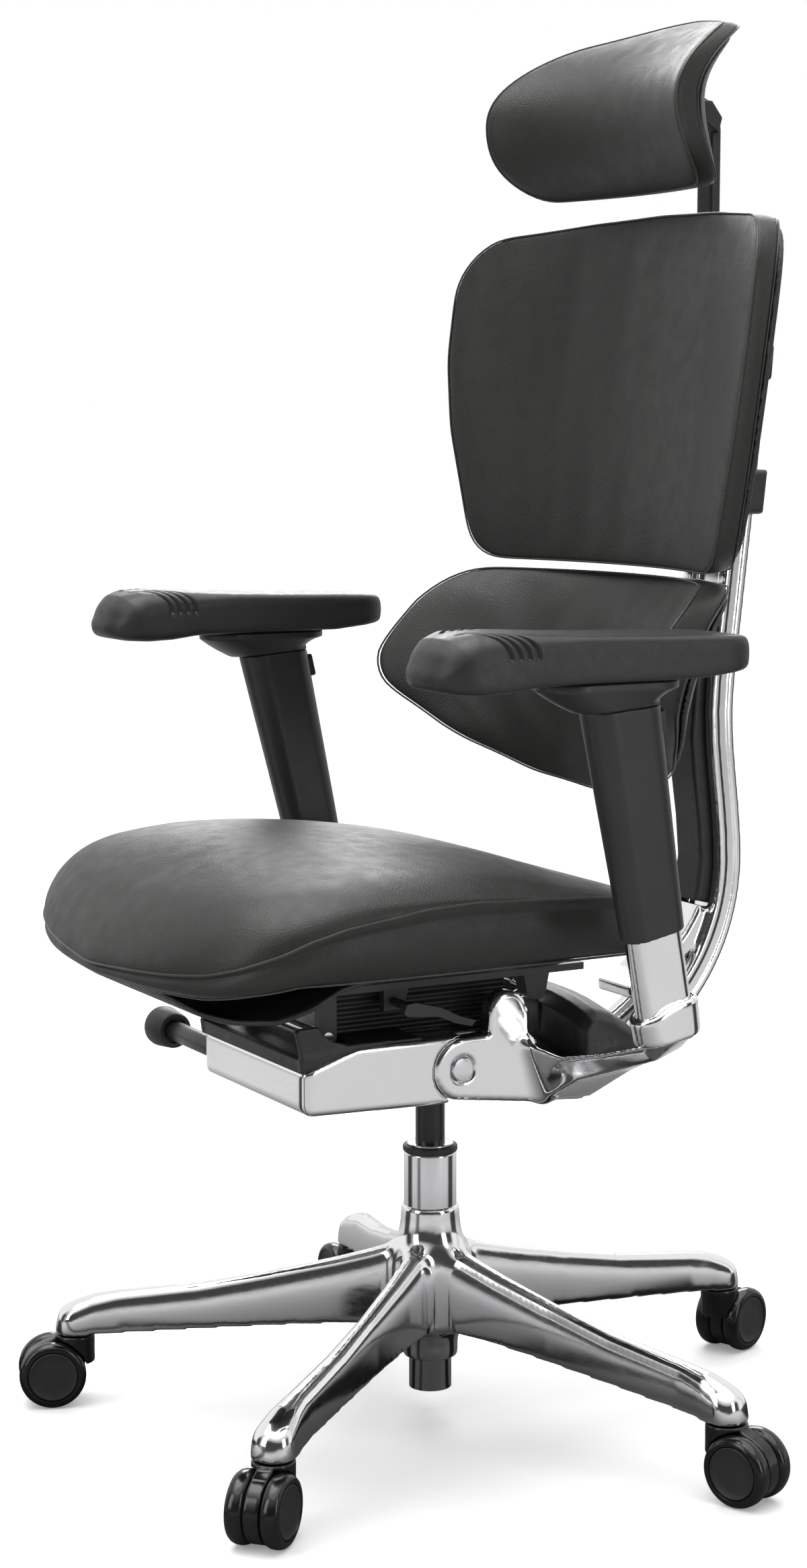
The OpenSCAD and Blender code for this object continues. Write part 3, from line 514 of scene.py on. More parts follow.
def ring_on(outline, corners, across, up):
    """Even points round an outline: across and up cells on its sides, starting at the first corner."""
    starts = [int(np.argmin(np.linalg.norm(outline - c, axis=1))) for c in corners]
    ring = []
    for k, cells_here in enumerate((across, up, across, up)):
        a, b = starts[k], starts[(k + 1) % 4]
        span = (b - a) % len(outline)
        stretch = np.array([outline[(a + i) % len(outline)] for i in range(span + 1)])
        steps = np.concatenate([[0], np.cumsum(np.linalg.norm(np.diff(stretch, axis=0), axis=1))])
        at = np.linspace(0, steps[-1], cells_here, endpoint=False)
        ring += list(np.stack([np.interp(at, steps, stretch[:, i]) for i in range(2)], 1))
    return np.array(ring)


def filled(ring, across, up):
    """A grid of points spanning a ring, as an (up + 1, across + 1, 2) array."""
    bottom = ring[:across + 1]
    right = ring[across:across + up + 1]
    top = ring[across + up:2 * across + up + 1][::-1]
    left = np.vstack([ring[2 * across + up:], ring[:1]])[::-1]
    u = np.linspace(0, 1, across + 1)[None, :, None]
    v = np.linspace(0, 1, up + 1)[:, None, None]
    rows = (1 - v) * bottom[None] + v * top[None]
    columns = (1 - u) * left[:, None] + u * right[:, None]
    plane = ((1 - u) * (1 - v) * bottom[0] + u * (1 - v) * bottom[-1]
             + (1 - u) * v * top[0] + u * v * top[-1])
    return rows + columns - plane


class Pad:
    """A closed pad of quads: a rear panel, rings round its edge, and a front panel.

    bottom and top are its lower and upper right corners, where its sides change over."""

    def __init__(self, outline, bottom, top, across, up, place):
        self.outline = outline
        self.corners = [(-bottom[0], bottom[1]), bottom, top, (-top[0], top[1])]
        self.across, self.up = across, up
        self.place = place
        self.count = 2 * (across + up)

    def panel(self, flat, first, start):
        """The points inside a flat ring, and the numbers of all the points of its grid."""
        a, b = self.across, self.up
        inner = filled(flat, a, b)[1:-1, 1:-1].reshape(-1, 2)
        index = np.zeros((b + 1, a + 1), int)
        index[1:-1, 1:-1] = start + np.arange(len(inner)).reshape(b - 1, a - 1)
        index[0, :] = first + np.arange(a + 1)
        index[:, a] = first + a + np.arange(b + 1)
        index[b, :] = (first + a + b + np.arange(a + 1))[::-1]
        index[1:b, 0] = (first + 2 * a + b + np.arange(1, b))[::-1]
        return inner, index

    def mesh(self, levels):
        """levels are (inset, depth) from the rear panel's rim to the front panel's rim."""
        flats = [
            ring_on(inset(self.outline, distance), self.corners, self.across, self.up)
            for distance, _ in levels
        ]
        points = [self.place(*flat.T, depth) for flat, (_, depth) in zip(flats, levels)]
        faces = bands(len(levels), self.count)
        for level, turn in ((0, -1), (len(levels) - 1, 1)):
            start = sum(len(p) for p in points)
            inner, index = self.panel(flats[level], level * self.count, start)
            points.append(self.place(*inner.T, levels[level][1]))
            for j, i in product(range(self.up), range(self.across)):
                quad = [index[j, i], index[j, i + 1], index[j + 1, i + 1], index[j + 1, i]]
                faces.append(quad[::turn])
        return np.concatenate(points), faces


FILL_FRAMES = 20
LEATHER_STIFFNESS = 15.0


def vertices(mesh):
    """A mesh's points as rows of x, y and z."""
    flat = np.zeros(len(mesh.vertices) * 3)
    mesh.vertices.foreach_get("co", flat)
    return flat.reshape(-1, 3)


def stuffing(obj, pinned, pressure):
    """Cloth under pressure from inside, held at the pinned points."""
    obj.vertex_groups.new(name="sewn").add([int(i) for i in pinned], 1.0, "REPLACE")
    cloth = obj.modifiers.new("fill", "CLOTH")
    settings = cloth.settings
    settings.quality = 6
    settings.mass = 0.3
    settings.tension_stiffness = LEATHER_STIFFNESS
    settings.compression_stiffness = LEATHER_STIFFNESS
    settings.bending_stiffness = 2.0
    settings.use_pressure = True
    settings.uniform_pressure_force = pressure
    settings.vertex_group_mass = "sewn"
    settings.effector_weights.gravity = 0.0
    cloth.collision_settings.use_collision = False
    cloth.point_cache.frame_start = 1
    cloth.point_cache.frame_end = FILL_FRAMES
    return cloth


def inflate(obj, pinned, pressure, cap):
    """Where a pad's points are once it's filled, with no point moved by more than cap."""
    before = vertices(obj.data)
    cloth = stuffing(obj, pinned, pressure)
    scene = bpy.context.scene
    for number in range(1, FILL_FRAMES + 1):
        scene.frame_set(number)
    after = vertices(obj.evaluated_get(bpy.context.evaluated_depsgraph_get()).data)
    obj.modifiers.remove(cloth)
    scene.frame_set(1)
    move = after - before
    far = np.linalg.norm(move, axis=1)
    move *= (cap * MM * np.tanh(far / (cap * MM)) / np.maximum(far, 1e-9))[:, None]
    return before + move


def subdivided(obj):
    """One level of subdivision, applied."""
    modifier = obj.modifiers.new("smooth", "SUBSURF")
    modifier.levels = modifier.render_levels = 1
    shape = obj.evaluated_get(bpy.context.evaluated_depsgraph_get())
    mesh = bpy.data.meshes.new_from_object(shape)
    obj.modifiers.remove(modifier)
    obj.data = mesh


def cord_along(name, line, radius, body):
    """A fine closed tube along points in millimetres: piping, or a raised seam."""
    curve = bpy.data.curves.new(name, "CURVE")
    curve.dimensions = "3D"
    curve.bevel_depth = radius * MM
    curve.bevel_resolution = 3
    spline = curve.splines.new("POLY")
    spline.points.add(len(line) - 1)
    spline.points.foreach_set("co", np.c_[np.asarray(line) * MM, np.ones(len(line))].ravel())
    spline.use_cyclic_u = True
    # the piping's lighter colour is a painted highlight along the welts
    curve.materials.append(MATERIALS["leather_piping"])
    obj = linked(name, curve)
    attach(obj, body)


def cushion(name, body, pad, levels, seams, pressure, cap, cord):
    """Builds, fills and pipes a pad. seams are the levels sewn down, first its rim, then its piping."""
    points, faces = pad.mesh(levels)
    obj = piece(name + "_pad", points, faces, body, "black_leather", [name + "_cushion"])
    pinned = [s * pad.count + i for s in seams for i in range(pad.count)]
    first = len(levels) * pad.count
    rear = range(first, first + (pad.across - 1) * (pad.up - 1))
    final = inflate(obj, pinned + list(rear), pressure, cap)
    weight = np.full(len(final), 0.5)
    weight[pinned] = 0
    final = relaxed(final, faces, weight, 8)
    obj.data.vertices.foreach_set("co", final.ravel())
    obj.data.update()
    rim, piping = (final[s * pad.count:(s + 1) * pad.count] / MM for s in seams[:2])
    subdivided(obj)
    cord_along(name + "_piping", piping, cord, body)
    cord_along(name + "_rim", rim, cord * 0.9, body)


def bowed(front, rear, offset):
    """Places (x, z, depth) between two bowed surfaces, depth 0 at the front and 1 at the rear."""
    def place(x, z, depth):
        off = offset(z)
        ys = [
            y0 - bow + np.sqrt(np.maximum((bow + off) ** 2 - x * x, 1))
            for bow, y0 in (front, rear)
        ]
        y = ys[0] + (ys[1] - ys[0]) * depth
        return np.stack([x, y, z], 1)
    return place


def both_sides(half):
    """A closed anticlockwise outline from its right half, listed from the bottom up."""
    return half + [(-x, y) for x, y in reversed(half) if x > 0.01]


def back_cushion():
    outline = smoothed(both_sides(back_half_outline(0)), 700, 5)
    place = bowed((500, 224), (430, 260), back_offset)
    levels = [(14, 0.99), (4, 0.97), (0.8, 0.86), (0, 0.66), (0, 0.42), (0, 0.20), (1.2, 0.06),
              (3, 0.01), (7, 0.01), (13, 0.04), (22, 0.08)]
    pad = Pad(outline, (222, 808), (248, 1098), 60, 38, place)
    cushion("back", "back", pad, levels, [1, 6], 3.5, 9, 1.0)


def lumbar_cushion():
    outline = smoothed(both_sides(lumbar_half_outline(0)), 640, 7)
    place = bowed((300, 182), (335, 217), lumbar_offset)
    levels = [(12, 0.99), (3, 0.97), (0.6, 0.86), (0, 0.66), (0, 0.40), (0.6, 0.14),
              (2.5, 0.04), (6, 0.02), (12, 0.04), (21, 0.07)]
    pad = Pad(outline, (206, 652), (216, 786), 60, 22, place)
    cushion("lumbar", "lumbar", pad, levels, [1, 5], 3.5, 8, 1.0)


def head_roll(z):
    """How far the headrest rolls back above and below its middle."""
    above = np.maximum(z - 1221.5, 0)
    below = np.maximum(1221.5 - z, 0)
    return 96 * (above / 92.5) ** 2 + 34 * (below / 72.5) ** 2


def head_cushion():
    outline = smoothed(both_sides(head_half_outline(0)), 520, 4)
    place = bowed((400, 186), (430, 216), head_roll)
    levels = [(12, 0.90), (3, 0.86), (0.6, 0.76), (0, 0.58), (0, 0.36), (0.4, 0.14), (1.8, 0.04),
              (4, 0.02), (8, 0.04), (16, 0.08)]
    pad = Pad(outline, (150, 1161), (160, 1304), 44, 24, place)
    cushion("head", "headrest", pad, levels, [1, 5], 3.5, 6, 0.9)


SEAM_Y = [-348, -339, -332, -315, -288, -266, -246, -215, -139, -90, 39, 100, 132]
SEAM_Z = [467, 473, 476, 483, 496, 505, 514, 523, 534, 536, 530, 520, 508]
TOP_Y = [-352, -340, -320, -300, -285, -260, -230, -195, -160, -110, -60, 0, 40, 90, 120, 136]
TOP_Z = [478, 499, 522, 536, 545, 555.5, 562, 565.5, 566.5, 564.5, 560, 551, 540, 523, 513, 507]
LOW_Y = [-352, -335, -310, -285, -250, 136]
LOW_Z = [459, 457, 460, 468, 475.5, 475.5]


def seat_place(x, y, depth):
    """Depth 0 is the bottom, 1 the seam and 2 the top."""
    low = np.interp(y, LOW_Y, LOW_Z)
    seam = np.interp(y, SEAM_Y, SEAM_Z)
    crown = 16 * (np.abs(x) / 240) ** 2.4
    top = np.maximum(np.interp(y, TOP_Y, TOP_Z) - crown, seam + 3)
    z = low + (seam - low) * min(depth, 1) + (top - seam) * max(depth - 1, 0)
    return np.stack([x, y, z], 1)


def seat_cushion():
    half = [(0, -347), (75, -340), (125, -332), (178, -317), (212, -297), (232, -270)]
    half += [(242, -230), (245, -160), (245, 20), (244, 70)] + arc((202, 92), 41, 0, 90, 8)
    half += [(100, 133), (0, 133)]
    outline = smoothed(both_sides(half), 900, 6)
    pad = Pad(outline, (190, -310), (226, 118), 54, 54, seat_place)
    levels = [(26, 0.0), (12, 0.0), (5, 0.06), (1.5, 0.22), (0, 0.45), (0, 0.68), (1.4, 0.78),
              (4.5, 0.81), (1.2, 0.85), (0, 0.93), (1.6, 1.0), (0, 1.08), (0.3, 1.20),
              (1.5, 1.40), (5, 1.62), (12, 1.82), (24, 1.95), (40, 2.0)]
    cushion("seat", "seat", pad, levels, [1, 10, 7], 1.0, 3.5, 1.3)





# ---- base and casters ----

RIDGE_R = [0, 28, 41, 57, 90, 154, 220, 300, 324, 344, 357, 363, 370]
RIDGE_Z = [176, 168, 163.5, 158.5, 149.5, 134.5, 121.5, 111.5, 107.5, 100.5, 93, 84, 70]


def arm_field(u, v, z):
    """One arm of the base, with u outwards, v sideways and z up."""
    top = np.interp(u, RIDGE_R, RIDGE_Z)
    under = np.interp(u, [0, 77, 220, 325, 330, 400], [88, 88, 78, 70, 68.5, 68.5])
    reach = np.where(u > BASE_R, length(u - BASE_R, v), np.abs(v))
    half = np.interp(u, [0, 60, 150, 300, BASE_R], [13, 11.5, 9.8, 12.4, 18])
    fall = np.maximum(top - z, 0)
    side = reach - half + 3 - 5 * (1 - np.exp(-fall / 13)) - fall * 0.02
    upper = z - top + np.minimum(v * v, 400) / 42
    solid = common(side, upper, 5)
    solid = common(solid, under - z, 2)
    hollow = shared(side + 4.5, upper + 7.5, 46 - u, 22 - length(u - BASE_R, v))
    return common(solid, -hollow, 1.5)


def star_field(x, y, z):
    step = 2 * math.pi / 5
    angle = np.arctan2(y, x) - BASE_YAW
    fold = np.abs((angle + step / 2) % step - step / 2)
    r = length(x, y)
    near = arm_field(r * np.cos(fold), r * np.sin(fold), z)
    next_one = arm_field(r * np.cos(step - fold), r * np.sin(step - fold), z)
    arms = merge(near, next_one, 16)
    hub_r = np.interp(z, [56, 58, 87, 88, 150, 167.5, 175, 190, 205],
                      [25.5, 26.3, 26.3, 35.5, 34, 32, 30.2, 28.2, 27.2])
    hub = common(common(r - hub_r, z - 205.5, 1.5), 56 - z, 1.5)
    return merge(arms, hub, 14)


TUBE = [(20.2, 25.4), (20.2, 62), (25, 66), (25, 254.6), (24, 256), (15, 256), (15, 25.4)]
BUSH = [(14.6, 250), (24.4, 256.1), (25.7, 256.6), (26, 257.4), (26, 261), (25.4, 262),
        (14.6, 262.4)]
WASHER = [(14.5, 262.4), (22, 262.4), (22, 263.7), (21.4, 264.3), (14.5, 264.3)]
GAS_ROD = [(4, 140), (14, 141), (14, 386.5), (13, 387.5), (4, 387.5)]


def column():
    for name, profile, radius, body, slot, nodes in (
        ("column_sleeve", TUBE, 0.6, "base", "bright_steel", ["column_tube"]),
        ("column_collar", BUSH, 0.6, "base", "black_plastic", ["column_bush"]),
        ("column_washer", WASHER, 0.3, "base", "bright_steel", ()),
        ("gas_spring", GAS_ROD, 0.6, "lift", "black_steel", ["gas_cylinder"]),
    ):
        piece(name, *lathe(rounded(profile, radius)), body, slot, nodes, 40)


STEM = (0, 0)
WHEEL_CENTRE = (TRAIL, WHEEL_R)
FORK_WEB = [(0, 34), (34, 40), (30, 60), (18, 66), (0, 64)]
WHEEL = [(4.2, 7.8), (24, 7.8), (28.6, 8.4), (30.8, 10.4), (31.8, 13.2), (32, 16), (31.8, 19),
         (30.9, 21.8), (29.2, 23.8), (27, 24.7), (25.2, 24.8), (24.4, 24.5), (24.0, 23.6),
         (23.6, 22.8), (22, 22.6), (0.6, 22.6)]
WHEEL_CAP = [(0.6, 22.7), (22.6, 22.7), (23.2, 23.2), (23.2, 24.2), (22.6, 24.6), (21.4, 24.4),
             (20.8, 24.0), (14, 23.7), (0.6, 23.5)]


def fork_field(x, y, z):
    """A caster's body, trailing along +X from the stem."""
    across = np.abs(y) - 7.2
    neck = extruded(rod(x, y, STEM, 19), np.abs(z - 54) - 13.9, 2)
    collar = extruded(rod(x, y, STEM, 17), np.abs(z - 62) - 5.8, 1)
    hood = extruded(rod(x, z, WHEEL_CENTRE, 29.6), across, 1.6)
    web = plate(x, z, FORK_WEB, across, 1.0)
    solid = merge(merge(neck, web, 3), merge(hood, collar, 2), 3)
    wheel_room = np.maximum(rod(x, z, WHEEL_CENTRE, 33.2), 7.3 - np.abs(y))
    return common(without(solid, wheel_room), z - 67.9, 0.6)


def caster(number, fork, wheel_parts):
    """One caster at the end of its arm, with a wheel and a cap on each side."""
    angle = math.radians(CASTER_YAW[number])
    arm = BASE_YAW + number * 2 * math.pi / 5
    stem = np.array([BASE_R * math.cos(arm), BASE_R * math.sin(arm), 0])
    tag = str(number + 1)
    points, faces = fork
    piece("caster_body_" + tag, turned(points, angle) + stem, faces,
          "caster_" + tag, "caster_plastic", ["caster_fork_" + tag])
    for (side, sign), (kind, slot, points, faces) in product((("left", 1), ("right", -1)), wheel_parts):
        name = f"{side}_{tag}"
        piece(f"caster_{kind}_{name}", turned(points * (1, sign, 1), angle) + stem,
              [f[::sign] for f in faces], "roller_" + name, slot,
              ["wheel_" + name] if kind == "wheel" else (), 35)


def casters():
    fork = implicit(fork_field, (-20, -20, 1), (54, 20, 69), 1.3)
    wheel_parts = []
    for kind, slot, profile in (("wheel", "caster_plastic", WHEEL), ("cap", "black_plastic", WHEEL_CAP)):
        points, faces = lathe(profile, 120)
        x, y, z = points.T
        laid = np.stack([x + TRAIL, z, y + WHEEL_R], 1)
        wheel_parts.append((kind, slot, laid, [f[::-1] for f in faces]))
    for number in range(5):
        caster(number, fork, wheel_parts)


# ---- tilt mechanism ----

HOUSING_SIDE = arc((-175, 342), 12, 180, 250, 6) + [
    (-60, 327), (-25, 327), (-25, 388), (-133, 388), (-184, 371), (HOUSING_FRONT, 367)]
CHEEK_ROOM = [PIN, (-40.8, 331.8), (-21, 310), (90, 310), (90, 400), (PIN[0], 400)]


def housing_field(x, y, z):
    front = plate(y, z, HOUSING_SIDE, np.abs(x) - MECH_HALF, 4)
    corner = np.maximum(np.abs(x) - MECH_HALF + HOUSING_CORNER, 0)
    ahead = np.maximum(HOUSING_FRONT + HOUSING_CORNER - y, 0)
    front = common(front, length(corner, ahead) - HOUSING_CORNER, 3)
    rear = plate(y, z, oblong(-60, 38, 327, 388), np.abs(x) - 85, 3)
    solid = merge(front, rear, 3)
    room = np.maximum(np.abs(x) - 99, polygon(y, z, oblong(-181, -66, 333, 420)))
    solid = common(solid, -room, 1)
    lever_room = shared(x + 84, 386.5 - z, np.abs(y + 19) - 33)
    swing = np.minimum(rod(y, z, PIN, 29.5), polygon(y, z, CHEEK_ROOM))
    cheek_room = np.maximum(swing, 85.5 - np.abs(x))
    return common(without(solid, lever_room), -cheek_room, 0.8)


COVER_SIDE = [(-187.5, 369), (-184, 371.4), (-133, 388.4), (-67, 388.4), (-67, 391.5), (-130, 391.5),
              (-146, 388.5), (-184, 384), (-189, 382)]
COVER_FIN = [(-187, 373), (-190, 392), (-194, 408), (-190, 411), (-171, 411), (-165, 403),
             (-156, 396.5), (-142, 392.4), (-120, 391), (-100, 391.5), (-120, 386), (-150, 381)]


def cover_field(x, y, z):
    tray = plate(y, z, COVER_SIDE, np.abs(x) - 104, 1.2)
    fin = plate(y, z, COVER_FIN, np.abs(np.abs(x) - 101.5) - 2.5, 1.2)
    slot = np.maximum(np.abs(np.abs(x) - 71) - 13, np.abs(y + 150) - 18)
    return common(merge(tray, fin, 4), -slot, 0.6)


HALF_PIN = [(0.4, 30), (11, 30), (11, 104.4), (10.2, 105.3), (0.4, 105.3)]
KNOB = [(0.4, -241), (14, -241), (17.5, -240), (19.6, -237.4), (20, -234), (17.4, -209),
        (16.2, -207.2), (12.5, -207), (12.0, -211), (0.4, -211)]
TENSION_ROD = [(0.4, -211), (9.8, -211), (9.8, -113), (8, -112), (8, 97), (7, 98), (0.4, 98)]


def mechanism():
    half = lathe_x(rounded(HALF_PIN, 0.4), 72, PIN)
    piece("main_pivot", *joined([half, mirrored(*half)]), "lift", "bright_steel", ["main_pins"], 40)
    piece("tension_grip", *lathe_x(KNOB, 72, TENSION), "tension", "black_plastic",
          ["tension_knob"], 35)
    piece("tension_rod", *lathe_x(rounded(TENSION_ROD), 64, TENSION), "tension", "black_steel",
          ["tension_shaft"], 35)


# ---- yoke and rails ----

CHEEK_SIDE = arc(PIN, 29, 90, 270, 20) + [
    (64, 316), (76, 330), (76, 358), (46, 384), (46, 405)] + arc((23, 405), 20, 10, 170, 12) + [
    (2, 387)]
WING_X = [86, 105, 150, 200, 250, 300, 330]
WING_LINES = [
    ([44, 44, 50, 62, 74, 60, 50], [372, 372, 368, 379, 394, 424, 440]),
    ([60, 60, 68, 78, 86, 74, 60], [322, 320, 346, 364, 382, 410, 425]),
    ([112, 112, 128, 126, 114, 88, 80], [318, 318, 350, 372, 392, 412, 420]),
    ([112, 116, 140, 134, 117, 90, 80], [346, 350, 366, 386, 405, 428, 440]),
    ([84, 84, 92, 98, 98, 76, 66], [356, 354, 352, 368, 388, 424, 438]),
]


CROSS_SIDE = [(52, 330), (64, 316), (112, 312), (112, 346), (76, 358), (56, 358)]
EAR_SIDE = [(52, 350), (90, 350)] + arc(REAR_PIN, 15, 0, 180, 12)
REAR_SLOT_END = (50.6, 414.4)


def arm_space(x, y, z):
    """World points in the left arm's own leaning frame."""
    x, z = spun(x - ARM_X, z - ARM_TOP, ARM_SPLAY)
    y, z = spun(y + 2, z, -ARM_LEAN)
    return x, y, z


def socket_field(u, v, w):
    """The socket that takes an arm's post, in the arm's frame."""
    solid = extruded(stadium(v, u, 64 + (w + 279) * 0.1, 39), np.abs(w + 279) - 17, 3.5)
    return common(solid, w - 0.30 * v + 262, 2)


def yoke_field(x, y, z):
    x = np.abs(x)
    u, v, w = arm_space(x, y, z)
    corners = [(np.interp(x, WING_X, ys), np.interp(x, WING_X, zs)) for ys, zs in WING_LINES]
    cheek = plate(y, z, CHEEK_SIDE, np.abs(x - 95.5) - 9.5, 2.5)
    wing = extruded(polygon(y, z, corners) - 1.5, np.abs(x - 196) - 112, 3)
    cross = plate(y, z, CROSS_SIDE, x - 90, 2)
    ear = plate(y, z, EAR_SIDE, np.abs(x - 53) - 9, 1.5)
    solid = merge(merge(cheek, cross, 8), wing, 14)
    solid = merge(merge(solid, socket_field(u, v, w), 14), ear, 6)
    rear_slot = np.maximum(stroke(y, z, REAR_PIN, REAR_SLOT_END) - 7, x - 64)
    post_room = np.maximum(stadium(v, u, 53.1, 26.1), -284 - w)
    solid = common(without(solid, rear_slot), -post_room, 0.8)
    # the housing side of the cheeks stays flat and clear
    solid = without(solid, shared(x - 86, y - 51, -70 - y))
    return without(solid, rod(y, z, PIN, 11.05))


# the rails' rear edge: an arc up to the bend, a curve over it and a straight lean above it
RAIL_ARC = (125, 515)
RAIL_R = 205
RAIL_REAR = 330
BEND_TOP = 690
SPINE_Y = 319.3
SPINE_LEAN = 0.115


def base_y(z):
    return SPINE_LEAN * (z - BEND_TOP) + SPINE_Y


def rail_y(z):
    if z > BEND_TOP:
        return base_y(z)
    rise = BEND_TOP - RAIL_ARC[1]
    t = (z - RAIL_ARC[1]) / rise
    return (RAIL_REAR * (2 * t ** 3 - 3 * t * t + 1) + SPINE_Y * (3 * t * t - 2 * t ** 3)
            + SPINE_LEAN * rise * (t ** 3 - t * t))


def rail_edge(inset_by):
    """The rails' rear edge in (y, z), moved inwards."""
    line = [(100, 310 + inset_by)] + arc(RAIL_ARC, RAIL_R - inset_by, -88, 0, 26)
    return line + [(rail_y(z) - inset_by, z) for z in (540, 570, 600, 630, 660, 690, 1000)]


def rail_band(outer, inner):
    """The strip between two insets of the rear edge."""
    return rail_edge(outer) + rail_edge(inner)[::-1]


def hook_line():
    """The tongue that carries the rails forward under the seat, from its upper to its lower edge."""
    angles = [5.125 * i for i in range(9)]
    upper = [arc(RAIL_ARC, 142 + 3 * i, a - 56, a - 56, 0)[0] for i, a in enumerate(angles)]
    lower = [arc(RAIL_ARC, 153 + 33 * i / 8, a - 58, a - 58, 0)[0] for i, a in enumerate(angles)]
    return upper + lower[::-1]


def rails_field(x, y, z):
    x = np.abs(x)
    rib = polygon(y, z, rail_band(0, 26))
    solid = extruded(rib, np.abs(x - 29) - 7, 2.6)
    groove = np.maximum(34.9 - x, rib + 8.2)
    solid = common(solid, -groove, 1.2)
    web = plate(y, z, rail_band(8, 16), x - 24, 0.5)
    hook = plate(y, z, hook_line(), x - 30, 3)
    return merge(merge(solid, web, 1.5), hook, 8)


def rails_room(x, y, z):
    """The space that the rails take up inside the carriage and the back shell."""
    base = base_y(z)
    return shared(np.abs(x) - 36.4, y - base - 0.4, base - 26.4 - y)


INSERT_Z = [515, 555, 595, 635, 690, 735]
INSERT_BULGE = [12, 13, 14, 13.5, 10, 1]


def insert_field(x, y, z):
    line = arc(RAIL_ARC, 188.6, -14, -3, 4) + [(rail_y(h) - 16.4, h) for h in INSERT_Z]
    line += [(rail_y(h) - 26 - b, h) for h, b in zip(INSERT_Z[::-1], INSERT_BULGE[::-1])]
    line += arc(RAIL_ARC, 166, -3, -14, 4)
    return plate(y, z, line, np.abs(x) - 21.6, 3.5)


def carriage_field(x, y, z):
    base = base_y(z)
    body = extruded(np.maximum(y - base - 7, base - 38 - y), np.abs(z - 871.5) - 21.5, 3)
    body = common(body, np.abs(x) - 46, 9)
    return common(body, -rails_room(x, y, z), 0.5)


COVER_LINE = [(84, 350), (84, 402), (92, 413), (104, 415), (122, 409), (142, 396), (153, 385),
              (150, 376), (128, 352)]


def yoke_cover_field(x, y, z):
    lowered = z + 14 * (np.minimum(np.abs(x), 150) / 130) ** 3
    across = np.abs(x) - 140
    return common(plate(y, lowered, COVER_LINE, across, 5), across, 22)


def shade_sheet():
    """A dark ribbed sheet, on the camera's side only, that closes the side between the housing and the
    seat frame: painted shade, standing in for the shade in that gap.
    """
    ys = np.linspace(-138, 44, 24)
    zs = np.linspace(386, 437, 37)
    rib = 1.6 * np.cos(np.arange(len(zs)) * math.pi / 3)
    outer = [(60 + r, y, z) for z, r in zip(zs, rib) for y in ys]
    inner = [(57 + r, y, z) for z, r in zip(zs, rib) for y in ys]
    faces = bands(len(zs), len(ys), closed=False)
    points, quads = joined([(outer, faces), (inner, [f[::-1] for f in faces])])
    # painted shade: a dark sheet in a gap that lies in shade
    obj = piece("seat_gap_shade", points, quads, None, "black_plastic")
    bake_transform(obj)





# ---- arms ----

def sleeve_field(x, y, z):
    u, v, w = arm_space(x, y, z)
    grow = np.clip((w + 201) / 201, 0, 1)
    outer = stadium(v, u, 59 + 13 * grow, 32.4 + 9.4 * grow)
    solid = extruded(outer, np.abs(w + 95.5) - 105.5, 1.4)
    solid = common(solid, w + 0.13 * v, 1.2)
    hollow = np.maximum(stadium(v, u, 53.2, 26.2), w + 8)
    button_room = shared(np.abs(u) - 9, np.abs(w + 22) - 12, 28 - v)
    return common(without(solid, button_room), -hollow, 0.8)


def post_field(x, y, z):
    u, v, w = arm_space(x, y, z)
    return extruded(stadium(v, u, 53, 26), np.abs(w + 174.5) - 109.5, 0.8)


def arm_head_field(x, y, z):
    u, v, w = arm_space(x, y, z)
    t = np.clip(w / np.maximum(w + np.maximum(721 - z, 0), 0.5), 0, 1)
    shape = t ** 1.15
    flat = stadium((v * (1 - t) + (y + 15) * t), u * (1 - t) + (x - ARM_X) * t,
                   72 + 60 * shape, 43 + 19 * shape)
    solid = common(flat * 0.8, z - 727.6, 1.2)
    return common(solid, 0.4 - w - 0.13 * v, 0.8)


PAD_SIDE = arc((97.5, 748), 15.5, -60, 80, 8) + [
    (60, 765), (0, 766.5), (-60, 768.5), (-110, 771.5), (-140, 773), (-160, 772.4)]
PAD_SIDE += [(-176, 768), (-189, 760), (-198, 749), (-201, 740), (-198, 732.5), (-190, 727.5),
             (-176, 724.8), (-155, 724), (-130, 725), (-105, 728.2), (-60, 729), (50, 729)]
PAD_PLAN = arc((4, -159), 42, 0, -90, 9) + arc((-4, -159), 42, -90, -180, 9)
PAD_PLAN += [(-44.5, -60)] + arc((-12, 79), 34, 180, 90, 8) + arc((12, 79), 34, 90, 0, 8)
PAD_PLAN += [(44.5, -60)]


def pad_cut(x, y, start):
    """Distance from one of the four grooves on an arm pad, seen from above."""
    route = [(12, start - 30), (26, start - 16), (37, start - 6), (46, start + 3)]
    return reduce(np.minimum, (stroke(np.abs(x), y, a, b) for a, b in zip(route, route[1:])))


def pad_field(x, y, z):
    x = x - ARM_X
    soft = np.interp(y, [-200, -130, -60, 113], [32, 24, 9, 8])
    low = np.interp(y, [-200, -150, -60], [18, 9, 5])
    soft = low + (soft - low) * np.clip((z - 730) / 16, 0, 1)
    whole = common(polygon(y, z, PAD_SIDE), polygon(x, y, PAD_PLAN), soft)
    solid = whole
    for k in range(4):
        cut = shared(pad_cut(x, y, 8.5 * k - 135) - 1.5, -whole - 2.2, 751 - z)
        solid = common(solid, -cut, 0.8)
    return without(solid, shared(np.abs(x) - 24.2, z - 733.2, np.abs(y + 10) - 89))


def pad_eased(points, faces):
    """An arm pad evened out, apart from the grooves on its top."""
    along, high = points[:, 1], points[:, 2]
    grooved = np.clip(np.minimum((along + 190) / 12, (-88 - along) / 12), 0, 1)
    grooved *= np.clip((high - 748) / 4, 0, 1)
    return relaxed(points, faces, 0.6 * (1 - grooved), 14)


def button_field(x, y, z):
    u, v, w = arm_space(x, y, z)
    corner = length(np.maximum(np.abs(u) - 5.4, 0), np.maximum(np.abs(w + 22) - 8.3, 0)) - 3
    return extruded(corner, np.abs(v - 35.6) - 3.5, 1.1)


